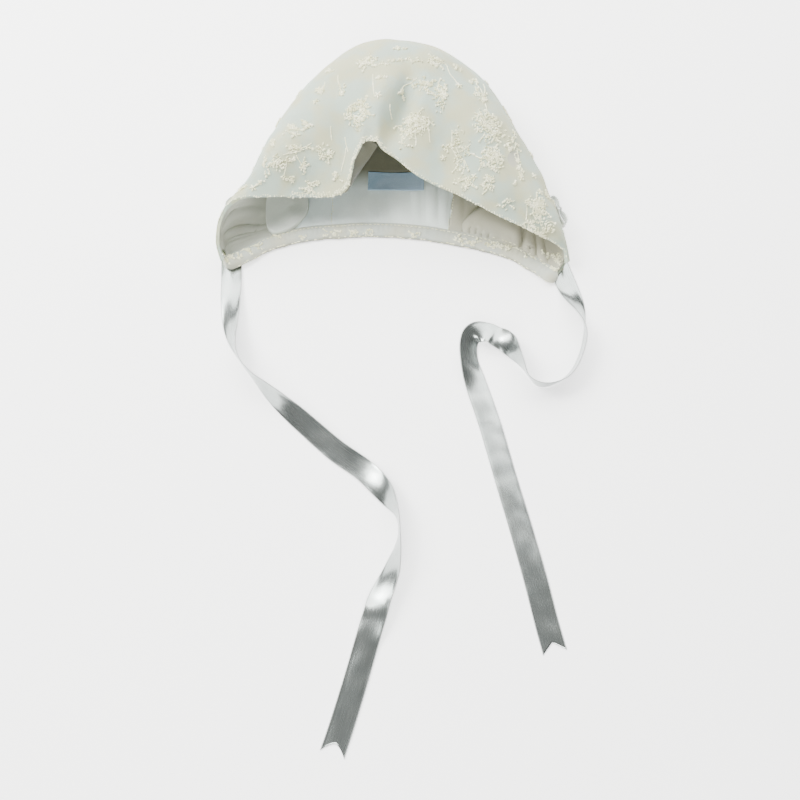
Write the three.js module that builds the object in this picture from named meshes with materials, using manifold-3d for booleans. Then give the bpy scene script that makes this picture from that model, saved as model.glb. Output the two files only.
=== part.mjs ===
// A baby's christening bonnet lying on a table, nape side down, with its satin ties laid out in front of it.
// Units are millimetres, +Z is up, -Y is the open front, and the table is the plane Z = 0.
// The bonnet is a soft pouch: its lower layer lies on the table, folds up round the crown, and comes back
// over the top to the front edge. The hollow between the two layers is where the head goes in.
import * as THREE from "three";
import { mergeVertices } from "three/addons/utils/BufferGeometryUtils.js";
import Module from "manifold-3d";

// Cloth thicknesses, and the gap between pieces that lie on each other.
const CROWN_CLOTH = 1.2;
const LINING_CLOTH = 1.0;
const GAP = 0.3;
const LINING_TOP = CROWN_CLOTH + GAP + LINING_CLOTH;

// The hem along the front edge, where the crown cloth is turned in over the lining.
const HEM_WIDTH = 6;

// The band that binds the nape edge, and the room under its ends for the ties sewn there.
const BAND_WIDTH = 10;
const BAND_HEIGHT = 5;
const TIE_ROOM = 2.0;
const TIE_ROOM_ROWS = 2.2;

// The satin ties.
const TIE_WIDTH = 15;
const TIE_CLOTH = 1.0;
const TIE_STEPS = 64;
const NOTCH_DEPTH = 6;

// Each row is one section of the pouch, from the left corner round to the right one. nape is where the lower
// layer starts, fold is the widest point of the turn, top is the highest point, and rim is the front edge.
const SECTION_COLUMNS = [
  "napeX", "napeY", "foldX", "foldY", "foldZ", "topX", "topY", "topZ", "rimX", "rimY", "rimZ",
];
const SECTIONS = [
  [-118, -74, -122, -72, 4, -123, -76, 8, -121, -82, 10],
  [-105, -66, -124, -60, 9, -125, -65, 15, -124, -71, 20],
  [-93, -58, -118, -45, 16, -120, -50, 26, -121, -57, 31],
  [-80, -53, -107, -31, 20, -106, -37, 35, -107, -47, 37],
  [-65, -49, -99, -13, 23, -88, -21, 44, -85, -43, 34],
  [-50, -47, -91, 8, 25, -72, -5, 51, -61, -40, 31],
  [-36, -46, -78, 33, 26, -55, 11, 56, -33, -40, 37],
  [-22, -45, -57, 61, 27, -37, 30, 60, -26, -21, 49],
  [-8, -45, -29, 86, 28, -18, 43, 63, -15, -12, 56],
  [8, -46, 5, 95, 28, 4, 49, 63, 0, -21, 52],
  [26, -48, 44, 85, 28, 26, 39, 61, 18, -34, 46],
  [46, -52, 72, 58, 27, 45, 17, 57, 42, -43, 40],
  [67, -57, 89, 23, 26, 65, -9, 52, 70, -56, 34],
  [88, -64, 105, -8, 24, 87, -33, 43, 97, -66, 27],
  [102, -73, 115, -38, 19, 108, -54, 32, 114, -72, 20],
  [112, -81, 123, -62, 11, 122, -70, 18, 122, -76, 15],
  [119, -88, 126, -78, 4, 127, -80, 8, 125, -83, 10],
];
const LAST_ROW = SECTIONS.length - 1;

// A section has four stretches: along the table, round the fold, up to the top, and on to the front edge.
const STRETCH_STEPS = [6, 3, 4, 5];
const RIM_END = STRETCH_STEPS.length;
const COLUMNS = 52;

// Folds in the cloth: a crest or a groove whose middle runs from row to row2 as the section runs from `from`
// to `to`, half as wide as `reach` rows, and raised by `lift`.
const FOLDS = [
  { row: 8.0, row2: 8.9, reach: 0.9, from: 2.5, to: 4.2, lift: 5 },
  { row: 8.9, row2: 9.7, reach: 0.7, from: 2.7, to: 4.2, lift: -4 },
  { row: 5.6, row2: 5.2, reach: 1.8, from: 3.0, to: 4.3, lift: -4 },
  { row: 4.4, row2: 4.0, reach: 0.9, from: 0.1, to: 0.75, lift: 4 },
];

// Gathers, where the lower layer is drawn in along the nape band.
const GATHERS = 13;
const GATHER_LIFT = 2.4;
const GATHER_LENGTH = 0.3;

// Routes of the ties, from the bonnet's corner to the cut end: a point on the table, how far the ribbon is held
// above it, and how it leans about its own line, with 0 lying flat and 90 standing on edge.
const TIE_COLUMNS = ["x", "y", "lift", "lean"];
const LEFT_TIE = [
  [-116, -77, 0, 0], [-115, -90, 0, 4], [-114, -108, 0, 14], [-111, -132, 0, 42],
  [-104, -152, 0, 78], [-95, -167, 0, 80], [-79, -183, 0, 54], [-60, -199, 0, 32],
  [-37, -219, 0, 20], [-17, -233, 0, 4], [-4, -248, 0, 34], [2, -263, 0, 74],
  [3, -279, 0, 70], [0, -297, 0, 36], [-6, -314, 4, 10], [-9, -324, 5, 2],
  [-14, -340, 1, 0], [-20, -361, 0, 0], [-27, -384, 0, 0], [-33, -402, 0, 0],
];
const RIGHT_TIE = [
  [121, -80, 0, 0], [126, -97, 0, -4], [130, -112, 0, -30], [133, -129, 0, -74],
  [133, -140, 0, -90], [130, -151, 0, -94], [124, -163, 0, -100], [116, -171, 0, -105],
  [106, -175, 0, -103], [98, -174, 0, -104], [93, -169, 0, -108], [89, -161, 1, -96],
  [84, -152, 2, -70], [78, -143, 4, -32], [70, -137, 6, 4], [63, -135, 6, -4],
  [57.5, -136.5, 4, -24], [54.3, -140, 1.5, -32], [53, -147, 0.5, -32], [54, -158, 0, -27],
  [58, -173, 0, -5], [66, -201, 0, 0], [75, -239, 0, 0], [83, -272, 0, 0],
  [90, -303, 0, 0], [95, -328, 0, 0], [99, -346, 0, 0],
];

// The label sewn inside the back, loose along its front edge.
const LABEL = { width: 42, length: 18, cloth: 1.0, x: 3, y: -17, curl: 3 };

// The small satin bow on each side wall above the corner, and where it sits on the wall.
const BOW = { ribbon: 7, cloth: 1.0, loop: 13, loopHeight: 6, knot: 5, tail: 14 };
const BOW_ROWS = [2.85, 14.2];
const BOW_STANDOFF = 1.0;
const BOW_STRETCH = 1.95;

// Small helpers for blending and for the cubic through a table's rows.
const smooth = (x) => {
  const t = Math.min(1, Math.max(0, x));
  return t * t * (3 - 2 * t);
};
const mix = (a, b, t) => a + (b - a) * t;
const bump = (x) => (Math.abs(x) < 1 ? (0.5 + 0.5 * Math.cos(Math.PI * x)) : 0);

function throughRows(rows, at) {
  const last = rows.length - 1;
  const i = Math.min(last - 1, Math.max(0, Math.floor(at)));
  const t = at - i;
  const [a, b, c, d] = [i - 1, i, i + 1, i + 2].map((k) => rows[Math.min(last, Math.max(0, k))]);
  return b.map((_, k) => {
    const slopeB = (c[k] - a[k]) / 2;
    const slopeC = (d[k] - b[k]) / 2;
    const t2 = t * t;
    const t3 = t2 * t;
    return (
      (2 * t3 - 3 * t2 + 1) * b[k] + (t3 - 2 * t2 + t) * slopeB +
      (3 * t2 - 2 * t3) * c[k] + (t3 - t2) * slopeC
    );
  });
}

// The named columns of a table at a row between its rows.
const named = (columns, rows, at) =>
  Object.fromEntries(throughRows(rows, at).map((value, k) => [columns[k], value]));

const endLift = (row) =>
  TIE_ROOM * (1 - smooth(row / TIE_ROOM_ROWS) + 1 - smooth((LAST_ROW - row) / TIE_ROOM_ROWS));

// The four stretches of one section as three.js curves.
function sectionCurves(row) {
  const s = named(SECTION_COLUMNS, SECTIONS, row);
  const lift = endLift(row);
  const nape = new THREE.Vector3(s.napeX, s.napeY, lift);
  const fold = new THREE.Vector3(s.foldX, s.foldY, s.foldZ + lift);
  const top = new THREE.Vector3(s.topX, s.topY, s.topZ + lift);
  const rim = new THREE.Vector3(s.rimX, s.rimY, s.rimZ + lift);
  const outward = new THREE.Vector3(fold.x - nape.x, fold.y - nape.y, 0);
  const reach = outward.length();
  outward.normalize();
  const foldDepth = Math.min(0.95 * s.foldZ, 0.6 * reach);
  const turn = fold.clone().addScaledVector(outward, -foldDepth).setZ(lift);
  const round = 0.55;
  const acrossTop = new THREE.Vector3(rim.x - fold.x, rim.y - fold.y, 0);
  const topReach = Math.hypot(top.x - fold.x, top.y - fold.y);
  acrossTop.normalize();
  const fall = rim.clone().sub(top);
  const up = new THREE.Vector3(0, 0, 1);
  return [
    new THREE.LineCurve3(nape, turn),
    new THREE.CubicBezierCurve3(
      turn,
      turn.clone().addScaledVector(outward, round * foldDepth),
      fold.clone().addScaledVector(up, -round * s.foldZ),
      fold,
    ),
    new THREE.CubicBezierCurve3(
      fold,
      fold.clone().addScaledVector(up, round * (top.z - fold.z)),
      top.clone().addScaledVector(acrossTop, -round * topReach),
      top,
    ),
    new THREE.CubicBezierCurve3(
      top,
      top.clone().addScaledVector(acrossTop, 0.38 * fall.length()),
      rim.clone().addScaledVector(fall, -0.3),
      rim,
    ),
  ];
}

function foldLift(row, along) {
  let lift = 0;
  for (const f of FOLDS) {
    const middle = mix(f.row2, f.row, Math.min(1, Math.max(0, (along - f.from) / (RIM_END - f.from))));
    const share = (along - f.from) / (f.to - f.from);
    if (share > 0 && share < 1) lift += f.lift * bump((row - middle) / f.reach) * bump(2 * share - 1);
  }
  return lift;
}

function gatherLift(row, along) {
  const wave = 0.5 - 0.5 * Math.cos((2 * Math.PI * GATHERS * row) / LAST_ROW);
  return GATHER_LIFT * wave * (1 - smooth(along / GATHER_LENGTH)) * smooth(row) * smooth(LAST_ROW - row);
}

// A point of the pouch's outer face. `along` counts the stretches: 0 is the nape edge and 4 the front edge.
function pouchPoint(row, along) {
  const stretch = Math.min(RIM_END - 1, Math.floor(along));
  const point = sectionCurves(row)[stretch].getPoint(along - stretch);
  point.z += foldLift(row, along) + gatherLift(row, along);
  return point;
}

function pouchNormal(row, along) {
  const step = 0.02;
  const [r0, r1] = [Math.max(0, row - step), Math.min(LAST_ROW, row + step)];
  const [a0, a1] = [Math.max(0, along - step), Math.min(RIM_END, along + step)];
  const across = pouchPoint(r1, along).sub(pouchPoint(r0, along));
  const onward = pouchPoint(row, a1).sub(pouchPoint(row, a0));
  return across.cross(onward).normalize().negate();
}

// A closed wall of cloth between two grids of points of the same size.
function wallGeometry(outer, inner) {
  const rows = outer.length;
  const steps = outer[0].length;
  const points = [...outer.flat(), ...inner.flat()];
  const index = [];
  const at = (side, i, j) => side * rows * steps + i * steps + j;
  const quad = (a, b, c, d) => index.push(a, b, c, a, c, d);
  for (let i = 0; i + 1 < rows; i++) {
    for (let j = 0; j + 1 < steps; j++) {
      quad(at(0, i, j), at(0, i, j + 1), at(0, i + 1, j + 1), at(0, i + 1, j));
      quad(at(1, i, j), at(1, i + 1, j), at(1, i + 1, j + 1), at(1, i, j + 1));
    }
    quad(at(0, i, 0), at(0, i + 1, 0), at(1, i + 1, 0), at(1, i, 0));
    quad(at(0, i, steps - 1), at(1, i, steps - 1), at(1, i + 1, steps - 1), at(0, i + 1, steps - 1));
  }
  for (let j = 0; j + 1 < steps; j++) {
    quad(at(0, 0, j), at(1, 0, j), at(1, 0, j + 1), at(0, 0, j + 1));
    quad(at(0, rows - 1, j), at(0, rows - 1, j + 1), at(1, rows - 1, j + 1), at(1, rows - 1, j));
  }
  const geometry = new THREE.BufferGeometry().setFromPoints(points);
  geometry.setIndex(index);
  geometry.computeVertexNormals();
  return geometry;
}

// Where a wall's steps fall along a section, from `start` near the nape to `end`.
function stepsAlong(start, end) {
  const steps = [start];
  STRETCH_STEPS.forEach((count, stretch) => {
    for (let k = 1; k <= count; k++) steps.push(Math.min(end, stretch + k / count));
  });
  return steps;
}

// A layer of the pouch between two depths below its outer face. depths(along) gives both, and the layer stops
// `inset` columns short of the two corners.
function pouchLayer(inset, steps, depths) {
  const outer = [];
  const inner = [];
  for (let i = inset; i <= COLUMNS - inset; i++) {
    const row = (LAST_ROW * i) / COLUMNS;
    const sets = steps.map((along) => {
      const point = pouchPoint(row, along);
      const normal = pouchNormal(row, along);
      const [from, to] = depths(along);
      return [point.clone().addScaledVector(normal, -from), point.addScaledVector(normal, -to)];
    });
    outer.push(sets.map((pair) => pair[0]));
    inner.push(sets.map((pair) => pair[1]));
  }
  return wallGeometry(outer, inner);
}

// The last stretch is about this long, so the hem's start is a share of it.
const TOP_LENGTH = 55;
const HEM_START = RIM_END - HEM_WIDTH / TOP_LENGTH;

const crownSteps = [...stepsAlong(0, RIM_END).slice(0, -1), HEM_START, RIM_END];
const crownGeometry = () =>
  pouchLayer(0, crownSteps, (along) => [0, along > HEM_START ? LINING_TOP : CROWN_CLOTH]);

const LINING_START = 0.03;
const LINING_END = HEM_START - 0.02;
const LINING_INSET = 2;
const liningGeometry = () =>
  pouchLayer(LINING_INSET, stepsAlong(LINING_START, LINING_END), () => [CROWN_CLOTH + GAP, LINING_TOP]);

// The nape band is a flattened tube along the nape edge, just outside it.
function bandGeometry() {
  const sides = 10;
  const count = 44;
  const rings = [];
  for (let i = 0; i <= count; i++) {
    const row = (LAST_ROW * i) / count;
    const [before, start, after] = [row - 0.1, row, row + 0.1].map((at) => pouchPoint(at, 0));
    const out = new THREE.Vector3(after.y - before.y, before.x - after.x, 0).normalize();
    const middle = start.clone().addScaledVector(out, GAP + BAND_WIDTH / 2);
    const taper = Math.min(1, 0.55 + 0.45 * smooth(Math.min(i, count - i) / 2));
    rings.push(
      Array.from({ length: sides }, (_, k) => {
        const angle = (-2 * Math.PI * k) / sides;
        const across = (BAND_WIDTH / 2) * taper * Math.cos(angle);
        const height = (BAND_HEIGHT / 2) * (1 + Math.sin(angle) / Math.sin(Math.PI / 2 - Math.PI / sides));
        return middle.clone().addScaledVector(out, across).setZ(endLift(row) + height * taper);
      }),
    );
  }
  return ringGeometry(rings);
}

// A closed solid through rings of points, with flat ends.
function ringGeometry(rings) {
  const sides = rings[0].length;
  const index = [];
  rings.forEach((_, i) => {
    if (i + 1 === rings.length) return;
    for (let k = 0; k < sides; k++) {
      const [a, b] = [i * sides + k, i * sides + ((k + 1) % sides)];
      index.push(a, b, b + sides, a, b + sides, a + sides);
    }
  });
  const last = (rings.length - 1) * sides;
  for (let k = 1; k + 1 < sides; k++) {
    index.push(0, k + 1, k);
    index.push(last, last + k, last + k + 1);
  }
  const geometry = new THREE.BufferGeometry().setFromPoints(rings.flat());
  geometry.setIndex(index);
  geometry.computeVertexNormals();
  return geometry;
}

// A satin tie: a flat strip along its route, with a swallow-tail cut at the loose end.
function tieGeometry(route) {
  const last = route.length - 1;
  const centre = (at) => {
    const p = named(TIE_COLUMNS, route, at);
    const lean = THREE.MathUtils.degToRad(p.lean);
    const height = p.lift + (TIE_WIDTH / 2) * Math.abs(Math.sin(lean)) + TIE_CLOTH / 2;
    return { point: new THREE.Vector3(p.x, p.y, height), lean };
  };
  const upper = [];
  const lower = [];
  for (let i = 0; i <= TIE_STEPS; i++) {
    const at = (last * i) / TIE_STEPS;
    const { point, lean } = centre(at);
    const end = centre(last).point;
    const atEnd = i === TIE_STEPS;
    if (!atEnd && point.distanceTo(end) < NOTCH_DEPTH + 2) continue;
    const [before, after] = [Math.max(0, at - 0.05), Math.min(last, at + 0.05)].map((t) => centre(t).point);
    const onward = after.sub(before).normalize();
    const left = new THREE.Vector3(0, 0, 1).cross(onward).normalize();
    const above = onward.clone().cross(left);
    const side = left.clone().multiplyScalar(Math.cos(lean)).addScaledVector(above, Math.sin(lean));
    const face = onward.clone().cross(side);
    const lanes = [1, 0, -1].map((lane) => {
      const set = point.clone().addScaledVector(side, (lane * TIE_WIDTH) / 2);
      if (atEnd && lane === 0) set.addScaledVector(onward, -NOTCH_DEPTH);
      return set;
    });
    upper.push(lanes.map((p) => p.clone().addScaledVector(face, TIE_CLOTH / 2)));
    lower.push(lanes.map((p) => p.clone().addScaledVector(face, -TIE_CLOTH / 2)));
  }
  return wallGeometry(upper, lower);
}

// The label: a small cloth tab whose front edge lifts off the lining.
function labelGeometry() {
  const across = 8;
  const deep = 5;
  const grid = (height) =>
    Array.from({ length: across + 1 }, (_, i) =>
      Array.from({ length: deep + 1 }, (_, j) => {
        const share = j / deep;
        const x = LABEL.x + LABEL.width * (i / across - 0.5);
        const y = LABEL.y + LABEL.length * (1 - share);
        const wave = 0.7 + 0.3 * Math.cos((Math.PI * 2 * i) / across);
        return new THREE.Vector3(x, y, LINING_TOP + GAP + LABEL.curl * wave * share * share + height);
      }),
    );
  return wallGeometry(grid(LABEL.cloth), grid(0));
}

// Solids that are joined into one closed body.
const wasm = await Module();
wasm.setup();

function toManifold(geometry) {
  const bare = geometry.clone();
  bare.deleteAttribute("normal");
  bare.deleteAttribute("uv");
  const merged = mergeVertices(bare);
  return new wasm.Manifold(
    new wasm.Mesh({
      numProp: 3,
      vertProperties: new Float32Array(merged.attributes.position.array),
      triVerts: new Uint32Array(merged.index.array),
    }),
  );
}

function fromManifold(solid) {
  const mesh = solid.getMesh();
  const geometry = new THREE.BufferGeometry();
  geometry.setAttribute("position", new THREE.BufferAttribute(new Float32Array(mesh.vertProperties), 3));
  geometry.setIndex([...mesh.triVerts]);
  const flat = geometry.toNonIndexed();
  flat.computeVertexNormals();
  return flat;
}

// A tied bow: two loops of narrow ribbon, two tails and the knot over them, lying on the XY plane, front to +Z.
function bowGeometry() {
  const pieces = [];
  for (const side of [-1, 1]) {
    const loop = new THREE.Shape();
    const middle = side * (BOW.loop / 2 + BOW.knot / 2 - 2);
    loop.absellipse(middle, BOW.loopHeight / 2, BOW.loop / 2, BOW.loopHeight / 2, 0, 2 * Math.PI);
    const hole = new THREE.Path();
    const [holeX, holeY] = [BOW.loop / 2 - BOW.cloth, BOW.loopHeight / 2 - BOW.cloth];
    hole.absellipse(middle, BOW.loopHeight / 2, holeX, holeY, 0, 2 * Math.PI);
    loop.holes.push(hole);
    const ring = new THREE.ExtrudeGeometry(loop, { depth: BOW.ribbon, bevelEnabled: false, curveSegments: 6 });
    ring.translate(0, 0, -BOW.ribbon / 2);
    ring.rotateX(Math.PI / 2);
    pieces.push(ring);
    const tail = new THREE.BoxGeometry(BOW.ribbon, BOW.tail, BOW.cloth);
    tail.translate(0, -BOW.tail / 2, BOW.cloth / 2);
    tail.rotateZ(side * 0.45);
    pieces.push(tail);
  }
  const knot = new THREE.CapsuleGeometry(BOW.knot / 2, BOW.ribbon - 4, 3, 8);
  knot.translate(0, 0, BOW.loopHeight / 2);
  pieces.push(knot);
  const solids = pieces.map(toManifold);
  return fromManifold(solids.reduce((all, solid) => all.add(solid)));
}

// The bow stands on the side wall: its back faces the cloth and its loops run along the wall.
function placeBow(mesh, row) {
  const normal = pouchNormal(row, BOW_STRETCH);
  const point = pouchPoint(row, BOW_STRETCH);
  const along = new THREE.Vector3(0, 0, 1).cross(normal).normalize();
  const up = normal.clone().cross(along);
  mesh.quaternion.setFromRotationMatrix(new THREE.Matrix4().makeBasis(along, up, normal));
  mesh.position.copy(point.addScaledVector(normal, BOW_STANDOFF));
}

const COTTON = 0xdfe2d4;
const SATIN = 0xe6ebe6;
const LABEL_BLUE = 0xa9b6bb;

function piece(name, geometry, color, roughness) {
  const mesh = new THREE.Mesh(geometry, new THREE.MeshStandardMaterial({ color, roughness }));
  mesh.name = name;
  return mesh;
}

const hat = new THREE.Group();
hat.name = "baby_hat";
hat.add(piece("crown", crownGeometry(), COTTON, 0.85));
hat.add(piece("lining", liningGeometry(), COTTON, 0.85));
hat.add(piece("nape_band", bandGeometry(), COTTON, 0.85));
hat.add(piece("tie_left", tieGeometry(LEFT_TIE), SATIN, 0.35));
hat.add(piece("tie_right", tieGeometry(RIGHT_TIE), SATIN, 0.35));
hat.add(piece("label", labelGeometry(), LABEL_BLUE, 0.8));
["bow_left", "bow_right"].forEach((name, i) => {
  const bow = piece(name, bowGeometry(), SATIN, 0.35);
  placeBow(bow, BOW_ROWS[i]);
  hat.add(bow);
});

export default hat;
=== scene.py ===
import math
import random

import bpy
import numpy as np
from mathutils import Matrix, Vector, noise
from mathutils.bvhtree import BVHTree


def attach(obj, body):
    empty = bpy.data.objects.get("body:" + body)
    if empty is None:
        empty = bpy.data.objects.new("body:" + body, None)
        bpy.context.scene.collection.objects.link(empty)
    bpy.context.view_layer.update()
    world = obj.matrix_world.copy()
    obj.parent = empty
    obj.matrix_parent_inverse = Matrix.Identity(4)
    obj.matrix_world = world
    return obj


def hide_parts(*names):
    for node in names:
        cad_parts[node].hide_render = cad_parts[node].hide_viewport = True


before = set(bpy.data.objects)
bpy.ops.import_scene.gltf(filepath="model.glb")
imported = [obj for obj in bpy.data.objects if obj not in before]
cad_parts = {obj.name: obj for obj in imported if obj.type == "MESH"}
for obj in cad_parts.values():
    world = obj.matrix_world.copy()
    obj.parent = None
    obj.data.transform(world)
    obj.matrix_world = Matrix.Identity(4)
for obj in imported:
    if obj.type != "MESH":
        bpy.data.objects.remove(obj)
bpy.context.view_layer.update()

# The camera looks down on the table from the front, as the photograph does.
# Its place and width were worked out from the ribbon's width and the way it narrows up the picture.
PICTURE_PX = 800
FOCAL_PX = 790
CAMERA_AT = Vector((0.006, -0.3787, 0.4968))
CAMERA_TILT = math.radians(21.5)

camera_data = bpy.data.cameras.new("camera")
camera_data.sensor_width = 36.0
camera_data.lens = camera_data.sensor_width * FOCAL_PX / PICTURE_PX
camera_data.clip_start = 0.01
camera = bpy.data.objects.new("camera", camera_data)
camera.location = CAMERA_AT
camera.rotation_euler = (CAMERA_TILT, 0, 0)
bpy.context.scene.collection.objects.link(camera)
bpy.context.scene.camera = camera


def sight_line(px, py):
    """The direction from the camera through a point of the picture."""
    up = Vector((0, math.cos(CAMERA_TILT), math.sin(CAMERA_TILT)))
    ahead = Vector((0, math.sin(CAMERA_TILT), -math.cos(CAMERA_TILT)))
    right = Vector((1, 0, 0))
    half = PICTURE_PX / 2
    return (ahead + right * (px - half) / FOCAL_PX + up * (half - py) / FOCAL_PX).normalized()


# The ties are two lengths of 15 mm double-faced satin ribbon with woven edges, sewn under the corners.
# They lie loose on the table, turn over where they bend, and end in a swallow-tail cut.
TIE_WIDTH = 0.015
TIE_CLOTH = 0.0004
TIE_SOLID = 0.001
TIE_NOTCH = 0.006
TIE_HIDDEN = 0.008
TIE_STEPS = 310
TIE_DOME = 0.00025
RIPPLE = 0.0005
FLUTTER = 0.0002
SEWN_CREASE = 0.00022
SEWN_CREASE_FADE = 0.03
SELVEDGE = 0.00055
SELVEDGE_FROM = 0.93
SELVEDGE_GREY = (0.40, 0.42, 0.41)
TABLE_CLEAR = 0.0001
TIE_LANES = [-1, -0.975, -0.94, -0.9, -0.7, -0.5, -0.25, 0, 0.25, 0.5, 0.7, 0.9, 0.94, 0.975, 1]

# Columns: x, y, height held above the table, lean in degrees (0 lies flat, 90 stands on edge).
LEFT_TIE = [
    (-0.116, -0.077, 0, 0), (-0.115, -0.090, 0, 4), (-0.114, -0.108, 0, 14), (-0.111, -0.132, 0, 42),
    (-0.105, -0.152, 0, 84), (-0.095, -0.167, 0, 90), (-0.079, -0.183, 0, 60), (-0.060, -0.199, 0, 32),
    (-0.037, -0.219, 0, 20), (-0.017, -0.233, 0, 4), (-0.004, -0.248, 0, 38), (0.004, -0.263, 0, 84),
    (0.005, -0.279, 0, 82), (0.001, -0.297, 0, 46), (-0.006, -0.314, 0.003, 16), (-0.009, -0.324, 0.005, 2),
    (-0.014, -0.340, 0.001, 0), (-0.020, -0.361, 0, 0), (-0.027, -0.384, 0, 0), (-0.033, -0.402, 0, 0),
]
RIGHT_TIE = [
    (0.121, -0.080, 0, 0), (0.126, -0.097, 0, -4), (0.130, -0.112, 0, -30), (0.133, -0.129, 0, -74),
    (0.133, -0.140, 0, -90), (0.130, -0.151, 0, -94), (0.124, -0.163, 0, -100), (0.116, -0.171, 0, -105),
    (0.106, -0.175, 0, -103), (0.098, -0.174, 0, -104), (0.093, -0.169, 0, -108),
    (0.089, -0.161, 0.001, -96), (0.084, -0.152, 0.002, -70), (0.078, -0.143, 0.004, -32),
    (0.070, -0.137, 0.006, 4), (0.063, -0.135, 0.006, -4), (0.0575, -0.1365, 0.004, -24),
    (0.0543, -0.140, 0.0015, -32), (0.053, -0.147, 0.0005, -32), (0.054, -0.158, 0, -27),
    (0.058, -0.173, 0, -5), (0.066, -0.201, 0, 0), (0.075, -0.239, 0, 0), (0.083, -0.272, 0, 0),
    (0.090, -0.303, 0, 0), (0.095, -0.328, 0, 0), (0.099, -0.346, 0, 0),
]


def through_rows(table, at):
    """A smooth curve through a table's rows, read at row numbers between them."""
    table = np.asarray(table, float)
    last = len(table) - 1
    i = np.clip(np.floor(at).astype(int), 0, last - 1)
    t = (np.asarray(at) - i)[:, None]
    a, b, c, d = (table[np.clip(i + k, 0, last)] for k in (-1, 0, 1, 2))
    slope_b = (c - a) / 2
    slope_c = (d - b) / 2
    return (
        (2 * t**3 - 3 * t**2 + 1) * b + (t**3 - 2 * t**2 + t) * slope_b
        + (3 * t**2 - 2 * t**3) * c + (t**3 - t**2) * slope_c
    )


def unit(vectors):
    return vectors / np.maximum(np.linalg.norm(vectors, axis=-1, keepdims=True), 1e-12)


def run_along(points):
    """Lengths from the first point of a line to each of its points."""
    return np.concatenate([[0], np.cumsum(np.linalg.norm(np.diff(points, axis=0), axis=1))])


def tie_middle(route, at):
    """Points along the middle of a tie, and its lean there."""
    x, y, lift, lean = through_rows(route, at).T
    lean = np.radians(lean)
    height = lift + TIE_WIDTH / 2 * np.abs(np.sin(lean)) + TIE_SOLID / 2
    return np.stack([x, y, height], -1), lean


def tie_frame(route, at):
    """The middle, onward, sideways and face directions of a tie."""
    near = 0.05
    middle, lean = tie_middle(route, at)
    ahead = tie_middle(route, np.minimum(len(route) - 1, at + near))[0]
    behind = tie_middle(route, np.maximum(0, at - near))[0]
    onward = unit(ahead - behind)
    left = unit(np.cross((0, 0, 1), onward))
    above = np.cross(onward, left)
    side = left * np.cos(lean)[:, None] + above * np.sin(lean)[:, None]
    return middle, onward, side, np.cross(onward, side)


def add_mesh(name, points, faces, uv, material):
    """A smooth-shaded mesh object with one UV pair for each point."""
    mesh = bpy.data.meshes.new(name)
    mesh.from_pydata([tuple(p) for p in points], [], faces)
    layer = mesh.uv_layers.new(name="cloth")
    corner = np.empty(len(mesh.loops), int)
    mesh.loops.foreach_get("vertex_index", corner)
    layer.data.foreach_set("uv", np.asarray(uv, float)[corner].ravel())
    mesh.polygons.foreach_set("use_smooth", [True] * len(mesh.polygons))
    mesh.materials.append(material)
    mesh.update()
    piece = bpy.data.objects.new(name, mesh)
    bpy.context.scene.collection.objects.link(piece)
    return piece


def add_shell(name, outer, inner, uv, material):
    """A closed wall of cloth between two grids of points."""
    rows, steps = outer.shape[:2]
    number = np.arange(2 * rows * steps).reshape(2, rows, steps)
    out, back = number
    faces = []

    def quads(a, b, c, d):
        faces.extend(np.stack([a.ravel(), b.ravel(), c.ravel(), d.ravel()], -1).tolist())

    quads(out[:-1, :-1], out[:-1, 1:], out[1:, 1:], out[1:, :-1])
    quads(back[:-1, :-1], back[1:, :-1], back[1:, 1:], back[:-1, 1:])
    quads(out[:-1, 0], out[1:, 0], back[1:, 0], back[:-1, 0])
    quads(out[:-1, -1], back[:-1, -1], back[1:, -1], out[1:, -1])
    quads(out[0, :-1], back[0, :-1], back[0, 1:], out[0, 1:])
    quads(out[-1, :-1], out[-1, 1:], back[-1, 1:], back[-1, :-1])
    points = np.concatenate([outer.reshape(-1, 3), inner.reshape(-1, 3)])
    return add_mesh(name, points, faces, np.concatenate([uv.reshape(-1, 2)] * 2), material)


def new_material(name, color, roughness, finish):
    """A Principled material, with a short way to add a node and one to join a socket to the shader."""
    material = bpy.data.materials.new(name)
    material.use_nodes = True
    tree = material.node_tree
    shader = tree.nodes["Principled BSDF"]

    def fill(made, inputs):
        for key, value in inputs.items():
            if isinstance(value, bpy.types.NodeSocket):
                tree.links.new(value, made.inputs[key])
            else:
                made.inputs[key].default_value = value

    def node(kind, output, inputs=(), **settings):
        made = tree.nodes.new("ShaderNode" + kind)
        for key, value in settings.items():
            setattr(made, key, value)
        fill(made, dict(inputs))
        return made.outputs[output]

    def join(socket, source):
        tree.links.new(source, shader.inputs[socket])

    fill(shader, {"Base Color": (*color, 1), "Roughness": roughness, **finish})
    return material, node, join


def two_tones(node, value, low, high):
    """A colour between two tones, over a value. Each tone is a place from 0 to 1 and a colour."""
    ramp = node("ValToRGB", "Color", {"Fac": value})
    for stop, (place, color) in zip(ramp.node.color_ramp.elements, (low, high)):
        stop.position = place
        stop.color = (*color, 1)
    return ramp


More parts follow.
